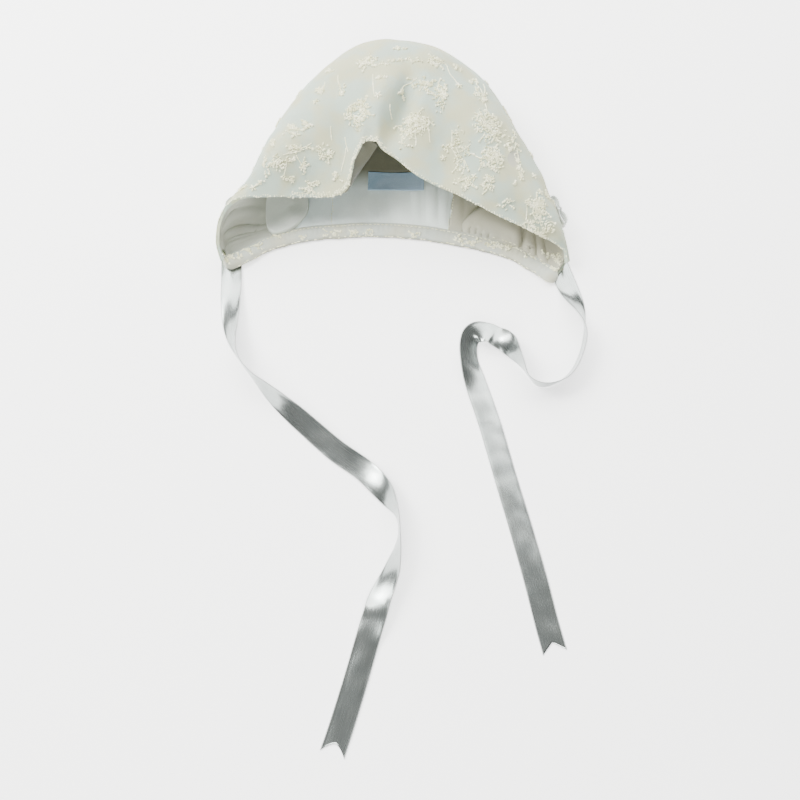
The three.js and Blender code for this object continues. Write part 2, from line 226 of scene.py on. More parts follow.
def satin_material(name, shine, dark, light):
    """Silvery satin: long floating threads along the ribbon that shine, between two matt woven edges."""
    finish = {"Sheen Weight": 0.05, "Sheen Roughness": 0.4}
    material, node, join = new_material(name, light, 0.3, finish)
    place = node("UVMap", "UV", uv_map="cloth")
    stretched = node("Mapping", "Vector", {"Vector": place, "Scale": (60, 4200, 1)})
    threads = node("TexNoise", "Fac", {"Vector": stretched, "Scale": 1.0, "Detail": 3.0})
    tone = node("TexNoise", "Fac", {"Vector": place, "Scale": 70.0, "Detail": 2.0})
    shade = two_tones(node, tone, (0.3, dark), (0.7, light))
    across = node("SeparateXYZ", "Y", {"Vector": place})
    aside = node("Math", "Value", {0: across}, operation="ABSOLUTE")
    edge = node("Math", "Value", {0: aside, 1: SELVEDGE_FROM * TIE_WIDTH / 2}, operation="GREATER_THAN")
    color = node("MixRGB", "Color", {"Fac": edge, "Color1": shade, "Color2": (*SELVEDGE_GREY, 1)})
    join("Base Color", color)
    join("Metallic", node("MapRange", "Result", {"Value": edge, "To Min": shine, "To Max": 0.1}))
    join("Roughness", node("MapRange", "Result", {"Value": threads, "To Min": 0.20, "To Max": 0.32}))
    join("Normal", node("Bump", "Normal", {"Height": threads, "Strength": 0.035, "Distance": 0.0002}))
    return material


satin = satin_material("satin", 0.95, (0.34, 0.375, 0.365), (0.42, 0.455, 0.44))


def add_tie(name, node_name, route, notch_power):
    """A ribbon along a route, its swallow-tail deeper in the middle by a power of the place across it."""
    last = len(route) - 1
    fine = np.linspace(0, last, 1200)
    run = run_along(tie_middle(route, fine)[0])
    length = run[-1]
    share = np.linspace(-TIE_HIDDEN / length, 1, TIE_STEPS)
    outer, inner, uv = [], [], []
    for lane in TIE_LANES:
        reach = length - TIE_NOTCH * (1 - abs(lane) ** notch_power)
        at = np.interp(share * reach, run, fine)
        spot, onward, side, face = tie_frame(route, at)
        spot = spot + onward * np.minimum(0, share * length)[:, None]
        thick = SELVEDGE if abs(lane) > SELVEDGE_FROM else TIE_CLOTH
        ripple = np.array([
            RIPPLE * noise.noise((s * 28, lane * 0.5, len(name)))
            + FLUTTER * noise.noise((s * 90, lane, 3.0))
            for s in share * reach
        ])
        # Where it is sewn in, the ribbon is drawn up in a few lengthwise creases.
        fade = np.exp(-np.maximum(0, share) * length / SEWN_CREASE_FADE)
        ripple += SEWN_CREASE * math.sin(5 * lane + 1) * fade
        dome = TIE_DOME * (0.4 - lane**2)
        spot = spot + side * (lane * TIE_WIDTH / 2) + face * (ripple + dome)[:, None]
        outer.append(spot + face * thick / 2)
        inner.append(spot - face * thick / 2)
        uv.append(np.stack([share * reach, np.full(len(share), lane * TIE_WIDTH / 2)], -1))
    grids = [np.stack(g[::-1], 1) for g in (outer, inner, uv)]
    for grid in grids[:2]:
        grid[..., 2] = np.maximum(grid[..., 2], TABLE_CLEAR)
    tie = add_shell(name, *grids, satin)
    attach(tie, "root")
    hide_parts(node_name)
    before_notch = np.interp(length - TIE_NOTCH, run, fine)
    path = tie_middle(route, np.linspace(0, before_notch, 6 * last + 1))[0]
    tuple(path[0])


add_tie("left_ribbon", "tie_left", LEFT_TIE, 1.6)
add_tie("right_ribbon", "tie_right", RIGHT_TIE, 1.0)


# The crown is the outer cloth, a fine ivory cotton, cut and sewn to a pouch that goes round the whole head.
# Lying down, its lower layer is flat on the table and its upper layer sags over the hollow to the front
# edge, where it is turned in as a narrow hem. Its shape is worked out from the sections of the pouch.
CROWN_CLOTH = 0.0012
LAYER_GAP = 0.0003
LINING_CLOTH = 0.001
LINING_TOP = CROWN_CLOTH + LAYER_GAP + LINING_CLOTH
HEM_CLOTH = 0.0025
HEM_WIDTH = 0.004
HEM_EASE = 0.002
TOP_STRETCH = 0.055
TIE_ROOM = 0.002
TIE_ROOM_ROWS = 2.2
DENT = 0.0022
DIMPLE = 0.0006
# How far the cloth carries on before it bends, as shares of the fold's height and of each stretch.
TURN_DEPTH = 0.95
TURN_REACH = 0.6
ROUND_OFF = 0.55
TOP_CARRY = 0.38
RIM_CARRY = 0.3

# Sections of the pouch, a row each from the left corner to the right.
# Columns: nape x, y; fold x, y, z; top x, y, z; front edge x, y, z.
SECTIONS = [
    (-0.118, -0.074, -0.122, -0.072, 0.004, -0.123, -0.076, 0.008, -0.121, -0.082, 0.010),
    (-0.105, -0.066, -0.124, -0.060, 0.009, -0.125, -0.065, 0.015, -0.124, -0.071, 0.020),
    (-0.093, -0.058, -0.118, -0.045, 0.016, -0.120, -0.050, 0.026, -0.121, -0.057, 0.031),
    (-0.080, -0.053, -0.107, -0.031, 0.020, -0.106, -0.037, 0.035, -0.107, -0.047, 0.037),
    (-0.065, -0.049, -0.099, -0.013, 0.023, -0.088, -0.021, 0.044, -0.085, -0.043, 0.034),
    (-0.050, -0.047, -0.091, 0.008, 0.025, -0.072, -0.005, 0.051, -0.061, -0.040, 0.031),
    (-0.036, -0.046, -0.078, 0.033, 0.026, -0.055, 0.011, 0.056, -0.033, -0.040, 0.037),
    (-0.022, -0.045, -0.057, 0.061, 0.027, -0.037, 0.030, 0.060, -0.026, -0.021, 0.049),
    (-0.008, -0.045, -0.029, 0.086, 0.028, -0.018, 0.043, 0.063, -0.015, -0.012, 0.056),
    (0.008, -0.046, 0.005, 0.095, 0.028, 0.004, 0.049, 0.063, 0.000, -0.021, 0.052),
    (0.026, -0.048, 0.044, 0.085, 0.028, 0.026, 0.039, 0.061, 0.018, -0.034, 0.046),
    (0.046, -0.052, 0.072, 0.058, 0.027, 0.045, 0.017, 0.057, 0.042, -0.043, 0.040),
    (0.067, -0.057, 0.089, 0.023, 0.026, 0.065, -0.009, 0.052, 0.070, -0.056, 0.034),
    (0.088, -0.064, 0.105, -0.008, 0.024, 0.087, -0.033, 0.043, 0.097, -0.066, 0.027),
    (0.102, -0.073, 0.115, -0.038, 0.019, 0.108, -0.054, 0.032, 0.114, -0.072, 0.020),
    (0.112, -0.081, 0.123, -0.062, 0.011, 0.122, -0.070, 0.018, 0.122, -0.076, 0.015),
    (0.119, -0.088, 0.126, -0.078, 0.004, 0.127, -0.080, 0.008, 0.125, -0.083, 0.010),
]
LAST_ROW = len(SECTIONS) - 1

# Folds and dents of the pouch. Columns: row at the front edge, row at the start, half width in rows,
# start and end along the section, lift.
FOLDS = [
    (8.1, 9.0, 0.75, 2.85, 4.05, 0.0055),
    (8.95, 9.75, 0.55, 2.9, 4.05, -0.005),
    (7.5, 7.6, 0.5, 3.4, 4.6, 0.0024),
    (8.45, 8.5, 0.4, 3.4, 4.6, 0.0020),
    (10.6, 11.2, 1.2, 2.9, 4.1, -0.004),
    (6.7, 6.3, 0.8, 3.0, 4.1, -0.003),
    (5.6, 5.2, 1.8, 3.0, 4.3, -0.004),
    (4.4, 4.0, 0.9, 0.1, 0.75, 0.004),
]
GATHERS = 13
GATHER_LIFT = 0.0006
GATHER_LENGTH = 0.3


def smooth(x):
    t = np.clip(x, 0, 1)
    return t * t * (3 - 2 * t)


def hump(x):
    return np.where(np.abs(x) < 1, 0.5 + 0.5 * np.cos(np.pi * np.clip(x, -1, 1)), 0)


def end_lift(row):
    """The room under both corners, where the ties are sewn."""
    return TIE_ROOM * (2 - smooth(row / TIE_ROOM_ROWS) - smooth((LAST_ROW - row) / TIE_ROOM_ROWS))


def bezier(a, b, c, d, t):
    t = t[None, :, None]
    a, b, c, d = (p[:, None, :] for p in (a, b, c, d))
    return a * (1 - t) ** 3 + 3 * b * t * (1 - t) ** 2 + 3 * c * t**2 * (1 - t) + d * t**3


def pouch(rows, along):
    """Points of the pouch's outer face, rows by steps along: 0 at the nape, 4 at the front edge."""
    s = through_rows(SECTIONS, rows)
    lift = end_lift(rows)
    up = np.array([0, 0, 1.0])
    nape = np.stack([s[:, 0], s[:, 1], lift], -1)
    fold = np.stack([s[:, 2], s[:, 3], s[:, 4] + lift], -1)
    top = np.stack([s[:, 5], s[:, 6], s[:, 7] + lift], -1)
    rim = np.stack([s[:, 8], s[:, 9], s[:, 10] + lift], -1)
    flat = np.array([1, 1, 0])
    reach = np.linalg.norm((fold - nape) * flat, axis=1)
    outward = unit((fold - nape) * flat)
    depth = np.minimum(TURN_DEPTH * s[:, 4], TURN_REACH * reach)[:, None]
    turn = fold - outward * depth
    turn[:, 2] = lift
    across = unit((rim - fold) * flat)
    top_reach = np.linalg.norm((top - fold) * flat, axis=1)[:, None]
    fall = rim - top
    drop = np.linalg.norm(fall, axis=1)[:, None]
    fold_z = s[:, 4][:, None]
    rise = (top[:, 2] - fold[:, 2])[:, None]
    stretches = [
        (nape, nape + (turn - nape) / 3, nape + (turn - nape) * 2 / 3, turn),
        (turn, turn + outward * depth * ROUND_OFF, fold - up * fold_z * ROUND_OFF, fold),
        (fold, fold + up * rise * ROUND_OFF, top - across * top_reach * ROUND_OFF, top),
        (top, top + across * drop * TOP_CARRY, rim - fall * RIM_CARRY, rim),
    ]
    stretch = np.clip(np.floor(along).astype(int), 0, 3)
    points = np.empty((len(rows), len(along), 3))
    for k, corners in enumerate(stretches):
        chosen = stretch == k
        points[:, chosen] = bezier(*corners, along[chosen] - k)
    points[..., 2] += cloth_lift(rows[:, None], along[None, :])
    return points


def cloth_lift(row, along):
    """How far the folds, dents and gathers raise the cloth."""
    lift = np.zeros(np.broadcast(row, along).shape)
    for row_rim, row_start, reach, start, end, height in FOLDS:
        middle = row_start + (row_rim - row_start) * np.clip((along - start) / (4 - start), 0, 1)
        share = (along - start) / (end - start)
        lift += height * hump((row - middle) / reach) * smooth(2.2 * share) * smooth(2.2 - 2.2 * share)
    wave = 0.5 - 0.5 * np.cos(2 * np.pi * GATHERS * row / LAST_ROW)
    ends = smooth(row) * smooth(LAST_ROW - row)
    return lift + GATHER_LIFT * wave * (1 - smooth(along / GATHER_LENGTH)) * ends


def outward_of(points):
    """Outward directions of a grid of points of the pouch."""
    return unit(np.cross(np.gradient(points, axis=1), np.gradient(points, axis=0)))


def cloth_uv(points):
    """Lengths along the cloth in both directions, so that a weave keeps its scale."""
    across = np.linalg.norm(np.diff(points, axis=0), axis=2).mean(axis=1)
    onward = np.linalg.norm(np.diff(points, axis=1), axis=2).mean(axis=0)
    u = np.concatenate([[0], np.cumsum(across)])
    v = np.concatenate([[0], np.cumsum(onward)])
    return np.stack(np.meshgrid(u, v, indexing="ij"), -1)


def soft_noise(points, scale, seed):
    """Smooth noise at each point of a grid, for small dents in cloth."""
    shape = points.shape[:2]
    shift = Vector((seed * 7.1, seed * 3.7, seed * 5.3))
    flat = points.reshape(-1, 3) * scale
    return np.array([noise.noise(Vector(p) + shift) for p in flat]).reshape(shape)


def cotton_material(name, cool, warm, blotch, weave_depth, shaded=None):
    """Woven cotton: a fine plain weave, patches of warmer and cooler white, and a soft bloom at the edges.

    Shaded cloth turns to a second colour: that colour, the axis, where it starts and where it is full.
    """
    finish = {"Specular IOR Level": 0.25, "Sheen Weight": 0.25, "Sheen Roughness": 0.5}
    material, node, join = new_material(name, cool, 0.86, finish)
    place = node("TexCoord", "Object")
    patches = node("TexNoise", "Fac", {"Vector": place, "Scale": blotch, "Detail": 3.0})
    color = two_tones(node, patches, (0.42, cool), (0.58, warm))
    if shaded:
        deep, axis, start, full = shaded
        spot = node("SeparateXYZ", axis, {"Vector": place})
        share = node("MapRange", "Result", {"Value": spot, "From Min": start, "From Max": full})
        color = node("MixRGB", "Color", {"Fac": share, "Color1": color, "Color2": (*deep, 1)})
    cloth = node("UVMap", "UV", uv_map="cloth")
    weave = []
    for turn in (0.0, math.pi / 2):
        turned = node("Mapping", "Vector", {"Vector": cloth, "Rotation": (0, 0, turn)})
        ribs = {"Vector": turned, "Scale": 520.0, "Distortion": 1.5, "Detail": 1.0}
        weave.append(node("TexWave", "Fac", ribs))
    threads = node("Math", "Value", dict(enumerate(weave)), operation="MULTIPLY")
    slub = node("TexNoise", "Fac", {"Vector": cloth, "Scale": 900.0, "Detail": 2.0})
    relief = node("Math", "Value", {0: threads, 1: slub}, operation="ADD")
    shade = node("MapRange", "Result", {"Value": slub, "To Min": 0.93, "To Max": 1.05})
    join("Base Color", node("VectorMath", "Vector", {0: color, "Scale": shade}, operation="SCALE"))
    join("Normal", node("Bump", "Normal", {"Height": relief, "Strength": weave_depth, "Distance": 0.0003}))
    return material


IVORY_COOL = (0.43, 0.52, 0.43)
IVORY_WARM = (0.50, 0.51, 0.33)
crown_cotton = cotton_material("crown_cotton", IVORY_COOL, IVORY_WARM, 42.0, 0.5)

crown_rows = np.linspace(0, LAST_ROW, 241)
hem_steps = np.array([3.9, 3.93, 3.955, 3.97, 3.98, 3.988, 3.994, 3.998, 4.0])
crown_along = np.concatenate([
    np.linspace(0, 1, 26)[:-1], np.linspace(1, 2, 13)[:-1], np.linspace(2, 3, 19)[:-1],
    np.linspace(3, 3.88, 22), hem_steps,
])
crown_face = pouch(crown_rows, crown_along)
crown_out = outward_of(crown_face)
upper = smooth((crown_along - 1.2) / 0.6)[None, :] * smooth(crown_rows / 2)[:, None]
upper = upper * smooth((LAST_ROW - crown_rows) / 2)[:, None]
dents = DENT * soft_noise(crown_face, 28, 1) + DIMPLE * soft_noise(crown_face, 85, 2)
crown_face = crown_face + crown_out * (dents * upper)[..., None]
crown_out = outward_of(crown_face)
# The wall thickens into the hem, and its edge is rounded off.
from_edge = (4 - crown_along) * TOP_STRETCH
wall = CROWN_CLOTH + (HEM_CLOTH - CROWN_CLOTH) * (1 - smooth((from_edge - HEM_WIDTH) / HEM_EASE))
rounding = 1 - np.clip(from_edge / (wall / 2), 0, 1)
half = wall / 2 * np.sqrt(np.maximum(0, 1 - rounding**2))
outer_depth = (wall / 2 - half)[None, :, None]
inner_depth = (wall / 2 + half)[None, :, None]
crown = add_shell(
    "bonnet_crown", crown_face - crown_out * outer_depth, crown_face - crown_out * inner_depth,
    cloth_uv(crown_face), crown_cotton,
)
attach(crown, "root")
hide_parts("crown")


# The embroidery is worked on the crown's cotton in a soft cream thread: sprigs of small blossoms, leaves
# and buds on fine stems. Every stitch is a raised pad of thread that lies on the cloth.
STITCH_RISE = 0.0010
STEM_RADIUS = 0.0004
STEM_STEP = 0.0015
STEM_CURL = 0.0004
LEAF = (0.0022, 0.0009)
# Least and greatest sizes of what is worked freely.
KNOT_SIZE = (0.0010, 0.0017)
BUD_SIZE = (0.0014, 0.0022)
STITCH_LENGTH = (0.0014, 0.0026)
STITCH_WIDTH = (0.0006, 0.0010)
BLOSSOM_RADIUS = (0.0018, 0.0026)
SIDE_BLOSSOM_RADIUS = (0.0016, 0.0024)
SIDE_SPRIG = (0.004, 0.008)
STITCHES_PER_PX = 1.15
PX_TO_METRES = 0.00066
UP_THE_CLOTH = Vector((0, 1, 0))
stitch_random = random.Random(11)


def thread_material():
    """Soft cotton thread: cream, with the fine lines of laid stitches across each pad."""
    finish = {"Specular IOR Level": 0.35, "Sheen Weight": 0.3}
    material, node, join = new_material("cream_thread", (0.90, 0.86, 0.62), 0.62, finish)
    place = node("TexCoord", "Object")
    tone = node("TexNoise", "Fac", {"Vector": place, "Scale": 240.0, "Detail": 2.0})
    join("Base Color", two_tones(node, tone, (0.35, (0.76, 0.755, 0.49)), (0.65, (0.99, 0.98, 0.74))))
    cloth = node("UVMap", "UV", uv_map="cloth")
    lines = node("TexWave", "Fac", {"Vector": cloth, "Scale": 800.0, "Distortion": 1.0})
    join("Normal", node("Bump", "Normal", {"Height": lines, "Strength": 0.3, "Distance": 0.0002}))
    return material


cream_thread = thread_material()


class Stitches:
    """Pads and lines of thread gathered into one mesh, all lying on one or more grids of cloth."""

    # Columns: place along a pad, share of its full width and height there.
    PAD_STATIONS = [(-1.0, 0.15), (-0.6, 0.8), (0.0, 1.0), (0.6, 0.8), (1.0, 0.15)]
    # Columns: place across a pad, share of its height there.
    PAD_LANES = [(-1.0, -0.35), (-0.7, 0.6), (0.0, 1.0), (0.7, 0.6), (1.0, -0.35)]

    def __init__(self, *cloths):
        points, quads = [], []
        for cloth in cloths:
            rows, steps = cloth.shape[:2]
            number = np.arange(rows * steps).reshape(rows, steps) + len(points)
            corners = (number[:-1, :-1], number[:-1, 1:], number[1:, 1:], number[1:, :-1])
            quads += np.stack([c.ravel() for c in corners], -1).tolist()
            points += [Vector(p) for p in cloth.reshape(-1, 3)]
        self.tree = BVHTree.FromPolygons(points, quads)
        self.points, self.faces, self.uv = [], [], []

    def seen(self, px, py):
        """The place and outward direction of the cloth under a point of the picture."""
        spot, out, _, _ = self.tree.ray_cast(CAMERA_AT, sight_line(px, py))
        return (spot, out) if spot else (None, None)

    def lay(self, spot):
        """The nearest place on the cloth and its outward direction."""
        near, out, _, _ = self.tree.find_nearest(spot)
        return near, out

    def sheet(self, columns, count):
        start = len(self.points) - columns * count
        for i in range(count - 1):
            for k in range(columns - 1):
                a = start + i * columns + k
                self.faces.append((a, a + columns, a + columns + 1, a + 1))

    def pad(self, spot, out, ahead, length, width, rise=STITCH_RISE):
        ahead = (ahead - out * ahead.dot(out)).normalized()
        side = out.cross(ahead)
        for reach, share in self.PAD_STATIONS:
            for across, height in self.PAD_LANES:
                self.points.append(
                    spot + ahead * (reach * length / 2) + side * (across * share * width / 2)
                    + out * (height * rise * (0.4 + 0.6 * share))
                )
                self.uv.append((reach * length / 2, across * width / 2))
        self.sheet(len(self.PAD_LANES), len(self.PAD_STATIONS))

    def stem(self, spots, radius=STEM_RADIUS):
        run = 0.0
        for i, spot in enumerate(spots):
            ahead = spots[min(i + 1, len(spots) - 1)] - spots[max(i - 1, 0)]
            base, out = self.lay(spot)
            side = out.cross(ahead).normalized()
            thick = radius * (1 + 0.3 * math.sin(i * 2.1)) * (0.5 if i in (0, len(spots) - 1) else 1)
            for across, height in self.PAD_LANES:
                self.points.append(base + side * across * thick + out * height * thick * 1.2)
                self.uv.append((run, across * thick))
            run += ahead.length / 2
        self.sheet(len(self.PAD_LANES), len(spots))

    def spread(self, spot, out, ahead, x, y):
        """The place on the cloth a little to the side of and ahead of a spot."""
        ahead = (ahead - out * ahead.dot(out)).normalized()
        return self.lay(spot + ahead.cross(out) * x + ahead * y)

    def sprig(self, spot, out, ahead, half_width, half_height, count, lean):
        """A close, uneven patch of knots, petals and leaves, gathered round a few centres."""
        centres = []
        for _ in range(3 + count // 12):
            turn = stitch_random.uniform(0, 2 * math.pi)
            reach = 0.85 * math.sqrt(stitch_random.random())
            centres.append((reach * math.cos(turn), reach * math.sin(turn)))
        for _ in range(count):
            x, y = stitch_random.choice(centres)
            x += stitch_random.gauss(0, 0.2)
            y += stitch_random.gauss(0, 0.2)
            place, face = self.spread(spot, out, ahead, half_width * x, half_height * y)
            swing = math.radians(lean + stitch_random.gauss(0, 50))
            heading = ahead * math.cos(swing) + ahead.cross(face) * math.sin(swing)
            if stitch_random.random() < 0.5:
                size = stitch_random.uniform(*KNOT_SIZE)
                self.pad(place, face, heading, size, size, STITCH_RISE * 1.3)
            else:
                length = stitch_random.uniform(*STITCH_LENGTH)
                self.pad(place, face, heading, length, stitch_random.uniform(*STITCH_WIDTH))

    def spray(self, spot, out, ahead, x, y):
        """A short curved stem from a sprig's edge out to a bud, with a leaf on the way."""
        bend = stitch_random.uniform(-0.3, 0.3)
        ways = [(0.55 + 0.13 * k, bend * (k / 5) ** 2) for k in range(6)]
        run = [self.spread(spot, out, ahead, x * a - y * b, y * a + x * b) for a, b in ways]
        self.stem([place for place, _ in run])
        place, face = run[-1]
        size = stitch_random.uniform(*BUD_SIZE)
        self.pad(place, face, ahead, size, size, STITCH_RISE * 1.2)
        place, face = run[3]
        swing = stitch_random.uniform(0, math.pi)
        heading = ahead * math.cos(swing) + ahead.cross(face) * math.sin(swing)
        self.pad(place, face, heading, *LEAF)

    def blossom(self, spot, out, ahead, radius):
        petals = stitch_random.choice((4, 5, 5))
        start = stitch_random.uniform(0, math.pi)
        self.pad(spot, out, ahead, radius * 0.8, radius * 0.8, STITCH_RISE * 1.5)
        for k in range(petals):
            turn = start + 2 * math.pi * k / petals
            ray = ahead * math.cos(turn) + ahead.cross(out) * math.sin(turn)
            place, face = self.lay(spot + ray * radius * 0.75)
            self.pad(place, face, ray, radius * 0.95, radius * 0.6)

    def patch(self, px, py, half_width, half_height, fullness, lean):
        """A sprig with its sprays, at a place in the picture."""
        spot, out = self.seen(px, py)
        if not spot:
            return
        wide, high = half_width * PX_TO_METRES, half_height * PX_TO_METRES
        count = int(STITCHES_PER_PX * fullness * half_width * half_height)
        self.sprig(spot, out, UP_THE_CLOTH, wide, high, count, lean)
        for _ in range(max(half_width, half_height) // 5):
            turn = stitch_random.uniform(0, 2 * math.pi)
            self.spray(spot, out, UP_THE_CLOTH, 1.1 * wide * math.cos(turn), 1.1 * high * math.sin(turn))

    def piece(self, name, slot_name):
        for point in self.points:
            point.z = max(point.z, TABLE_CLEAR)
        made = add_mesh(name, self.points, self.faces, self.uv, cream_thread)
        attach(made, "root")


# Sprigs as they show in the picture. Columns: px x, y, half width, half height, fullness, lean in degrees.
SPRIGS = [
    (366, 62, 10, 10, 0.9, 20), (357, 113, 15, 16, 0.9, 8), (379, 79, 7, 5, 0.7, 30),
    (320, 93, 5, 7, 0.7, 10), (305, 124, 6, 7, 0.9, -25), (291, 132, 10, 8, 0.7, 10),
    (299, 148, 12, 4, 0.8, 75), (280, 162, 12, 8, 0.7, 15), (304, 168, 4, 8, 0.6, 0),
    (288, 179, 6, 4, 0.8, 20), (310, 185, 10, 7, 0.9, 70), (326, 152, 8, 9, 0.5, 10),
    (401, 49, 6, 5, 0.7, 30), (437, 62, 10, 8, 0.7, 40), (423, 81, 14, 9, 0.5, 60),
    (401, 94, 6, 4, 0.7, 0), (440, 95, 10, 16, 0.6, 20), (413, 124, 20, 14, 0.95, -10),
    (475, 84, 7, 7, 0.5, 0), (480, 96, 8, 10, 0.6, 10), (487, 125, 17, 18, 0.8, 8),
    (491, 158, 14, 15, 0.95, 0), (460, 150, 11, 20, 0.3, 10), (466, 183, 10, 8, 0.8, 10),
    (489, 184, 9, 9, 0.8, 20), (513, 146, 8, 15, 0.35, 10), (514, 183, 3, 4, 0.9, 30),
    (538, 206, 14, 12, 0.95, 15), (538, 227, 16, 12, 0.7, 20), (445, 147, 4, 5, 0.7, 10),
    (266, 165, 5, 10, 0.5, 15), (261, 182, 7, 3, 0.7, 75), (342, 90, 5, 8, 0.5, 0),
    (388, 62, 9, 5, 0.3, 20), (416, 60, 8, 5, 0.3, 40), (330, 72, 6, 5, 0.4, 20),
    (458, 70, 5, 8, 0.4, 10), (520, 170, 6, 9, 0.4, 0), (404, 146, 8, 4, 0.4, 0),
    (548, 196, 5, 5, 0.6, 0), (336, 178, 6, 8, 0.4, 0), (272, 142, 6, 6, 0.4, 20),
    (243, 190, 8, 4, 0.4, 70), (505, 204, 8, 6, 0.4, 30),
]
# Single blossoms and buds. Columns: px x, y.
BLOSSOMS = [
    (401, 60), (426, 89), (378, 95), (342, 94), (318, 90), (316, 102), (304, 166), (253, 188), (292, 181),
    (322, 157), (330, 153), (514, 133), (468, 180), (474, 177), (487, 178), (534, 176), (540, 192),
    (402, 92), (459, 86), (452, 146), (443, 158), (518, 161), (521, 178), (494, 168), (478, 130),
    (537, 205), (528, 203),
]
# Stems, as runs of picture points.
STEMS = [
    [(338, 75), (338, 81), (340, 87), (342, 93)], [(373, 74), (373, 84), (374, 95)],
    [(428, 58), (433, 61), (436, 66), (442, 62), (447, 66)], [(447, 66), (450, 74), (455, 80), (459, 86)],
    [(417, 78), (411, 83), (404, 86), (401, 92)], [(402, 131), (402, 137), (402, 143)],
    [(415, 133), (416, 139), (416, 146)], [(427, 124), (429, 132), (430, 143)],
    [(452, 130), (452, 138), (452, 146)], [(450, 146), (454, 152), (458, 160)],
    [(460, 152), (465, 149), (471, 144)], [(483, 84), (485, 90), (484, 99), (487, 110), (485, 118)],
    [(476, 84), (481, 90), (484, 98)], [(517, 150), (518, 156), (518, 162)],
    [(288, 153), (297, 149), (305, 147), (312, 143)], [(283, 155), (291, 153), (301, 151)],
    [(287, 158), (286, 166), (284, 176)], [(296, 155), (300, 162), (304, 168)],
    [(331, 126), (331, 133), (332, 141)], [(345, 137), (346, 144), (348, 152)],
    [(271, 165), (276, 161), (281, 157)], [(346, 148), (345, 156), (343, 164), (341, 172)],
    [(527, 206), (527, 212), (526, 220)], [(540, 210), (540, 216), (541, 226)],
    [(325, 82), (324, 88), (321, 95)], [(437, 86), (441, 95), (445, 105)],
    [(444, 86), (441, 95), (437, 104)], [(390, 104), (390, 110), (392, 120)],
    [(520, 164), (521, 171), (521, 178)],
]

embroidery = Stitches(crown_face)
for sprig in SPRIGS:
    embroidery.patch(*sprig)
for px, py in BLOSSOMS:
    spot, out = embroidery.seen(px, py)
    if spot:
        embroidery.blossom(spot, out, UP_THE_CLOTH, stitch_random.uniform(*BLOSSOM_RADIUS))
for run in STEMS:
    picks = [embroidery.seen(*pick)[0] for pick in run]
    picks = np.array([tuple(p) for p in picks if p])
    fine = through_rows(picks, np.linspace(0, len(picks) - 1, 5 * len(picks)))
    embroidery.stem([Vector(p) for p in fine])
# The same sprigs go on round the sides and the back, out of the picture.
for row in np.arange(1.2, LAST_ROW - 1, 0.9):
    for level in (1.35, 1.75, 2.15):
        at_row = row + stitch_random.uniform(-0.3, 0.3)
        at_level = level + stitch_random.uniform(-0.12, 0.12)
        around = pouch(np.array([at_row, at_row + 0.01]), np.array([at_level, at_level + 0.01]))
        spot, out = embroidery.lay(Vector(around[0, 0]))
        upward = Vector(around[0, 1] - around[0, 0]).normalized()
        if stitch_random.random() < 0.5:
            size = stitch_random.uniform(*SIDE_SPRIG)
            embroidery.sprig(spot, out, upward, size, size * 0.8, int(size * 5000), 0)
        else:
            embroidery.blossom(spot, out, upward, stitch_random.uniform(*SIDE_BLOSSOM_RADIUS))
            bends = [(STEM_CURL * k * k, -STEM_STEP * k) for k in range(6)]
            embroidery.stem([embroidery.spread(spot, out, upward, x, y)[0] for x, y in bends])
embroidery.piece("crown_embroidery", "crown_cotton")


# The front hem is finished with small overcast stitches in the same thread, worked over its rolled edge.
# They stand out like a fine lace along the left side of the opening.
HEM_STEP = 0.0005
HEM_ENDS = 0.002
HEM_PAST_EDGE = 0.0004
HEM_REACH = 0.0034
HEM_SINK = 0.0003
HEM_STITCH_WIDTH = 0.0006
HEM_STITCH_RISE = 0.0004
LACY_MORE = 0.0003
HEM_GRID_STEPS = 14
LACY_ROWS = (4.6, 8.8)
hem_line = crown_face[:, -1]
hem_inward = unit(crown_face[:, -HEM_GRID_STEPS] - hem_line)
hem_run = run_along(hem_line)
hem_stitches = Stitches(crown_face)
for run in np.arange(HEM_ENDS, hem_run[-1] - HEM_ENDS, HEM_STEP):
    row = float(np.interp(run, hem_run, crown_rows))
    lacy = 1.0 if LACY_ROWS[0] < row < LACY_ROWS[1] else 0.4
    if stitch_random.random() > 0.2 + 0.8 * lacy:
        continue
    i = int(np.clip(np.searchsorted(hem_run, run), 1, len(hem_run) - 2))
    inset = stitch_random.uniform(-HEM_PAST_EDGE, HEM_REACH * lacy)
    spot, out = hem_stitches.lay(Vector(hem_line[i] + hem_inward[i] * max(0, inset)))
    spot = spot + Vector(hem_inward[i]) * min(0, inset)
    ahead = Vector(hem_line[i + 1] - hem_line[i - 1]).normalized()
    swing = stitch_random.uniform(-1.3, 1.3)
    heading = ahead * math.cos(swing) + ahead.cross(out) * math.sin(swing)
    length = stitch_random.uniform(*STITCH_LENGTH) * (0.6 + 0.4 * lacy)
    width = HEM_STITCH_WIDTH + LACY_MORE * lacy
    rise = HEM_STITCH_RISE + LACY_MORE * lacy
    hem_stitches.pad(spot - out * HEM_SINK, out, heading, length, width, rise)
hem_stitches.piece("hem_stitches", "crown_cotton")


# The facing is the crown's cotton turned in behind the hem. Left of the notch it has come loose and hangs
# down. It is one layer, sewn to the hem along its upper edge. Its very dark colour is painted shade.
FACING_CLOTH = 0.001
FACING_INSET = 0.0015
FACING_BULGE = 0.0012
FACING_STEPS = 41
FACING_ROWS = (6.0, 8.0)
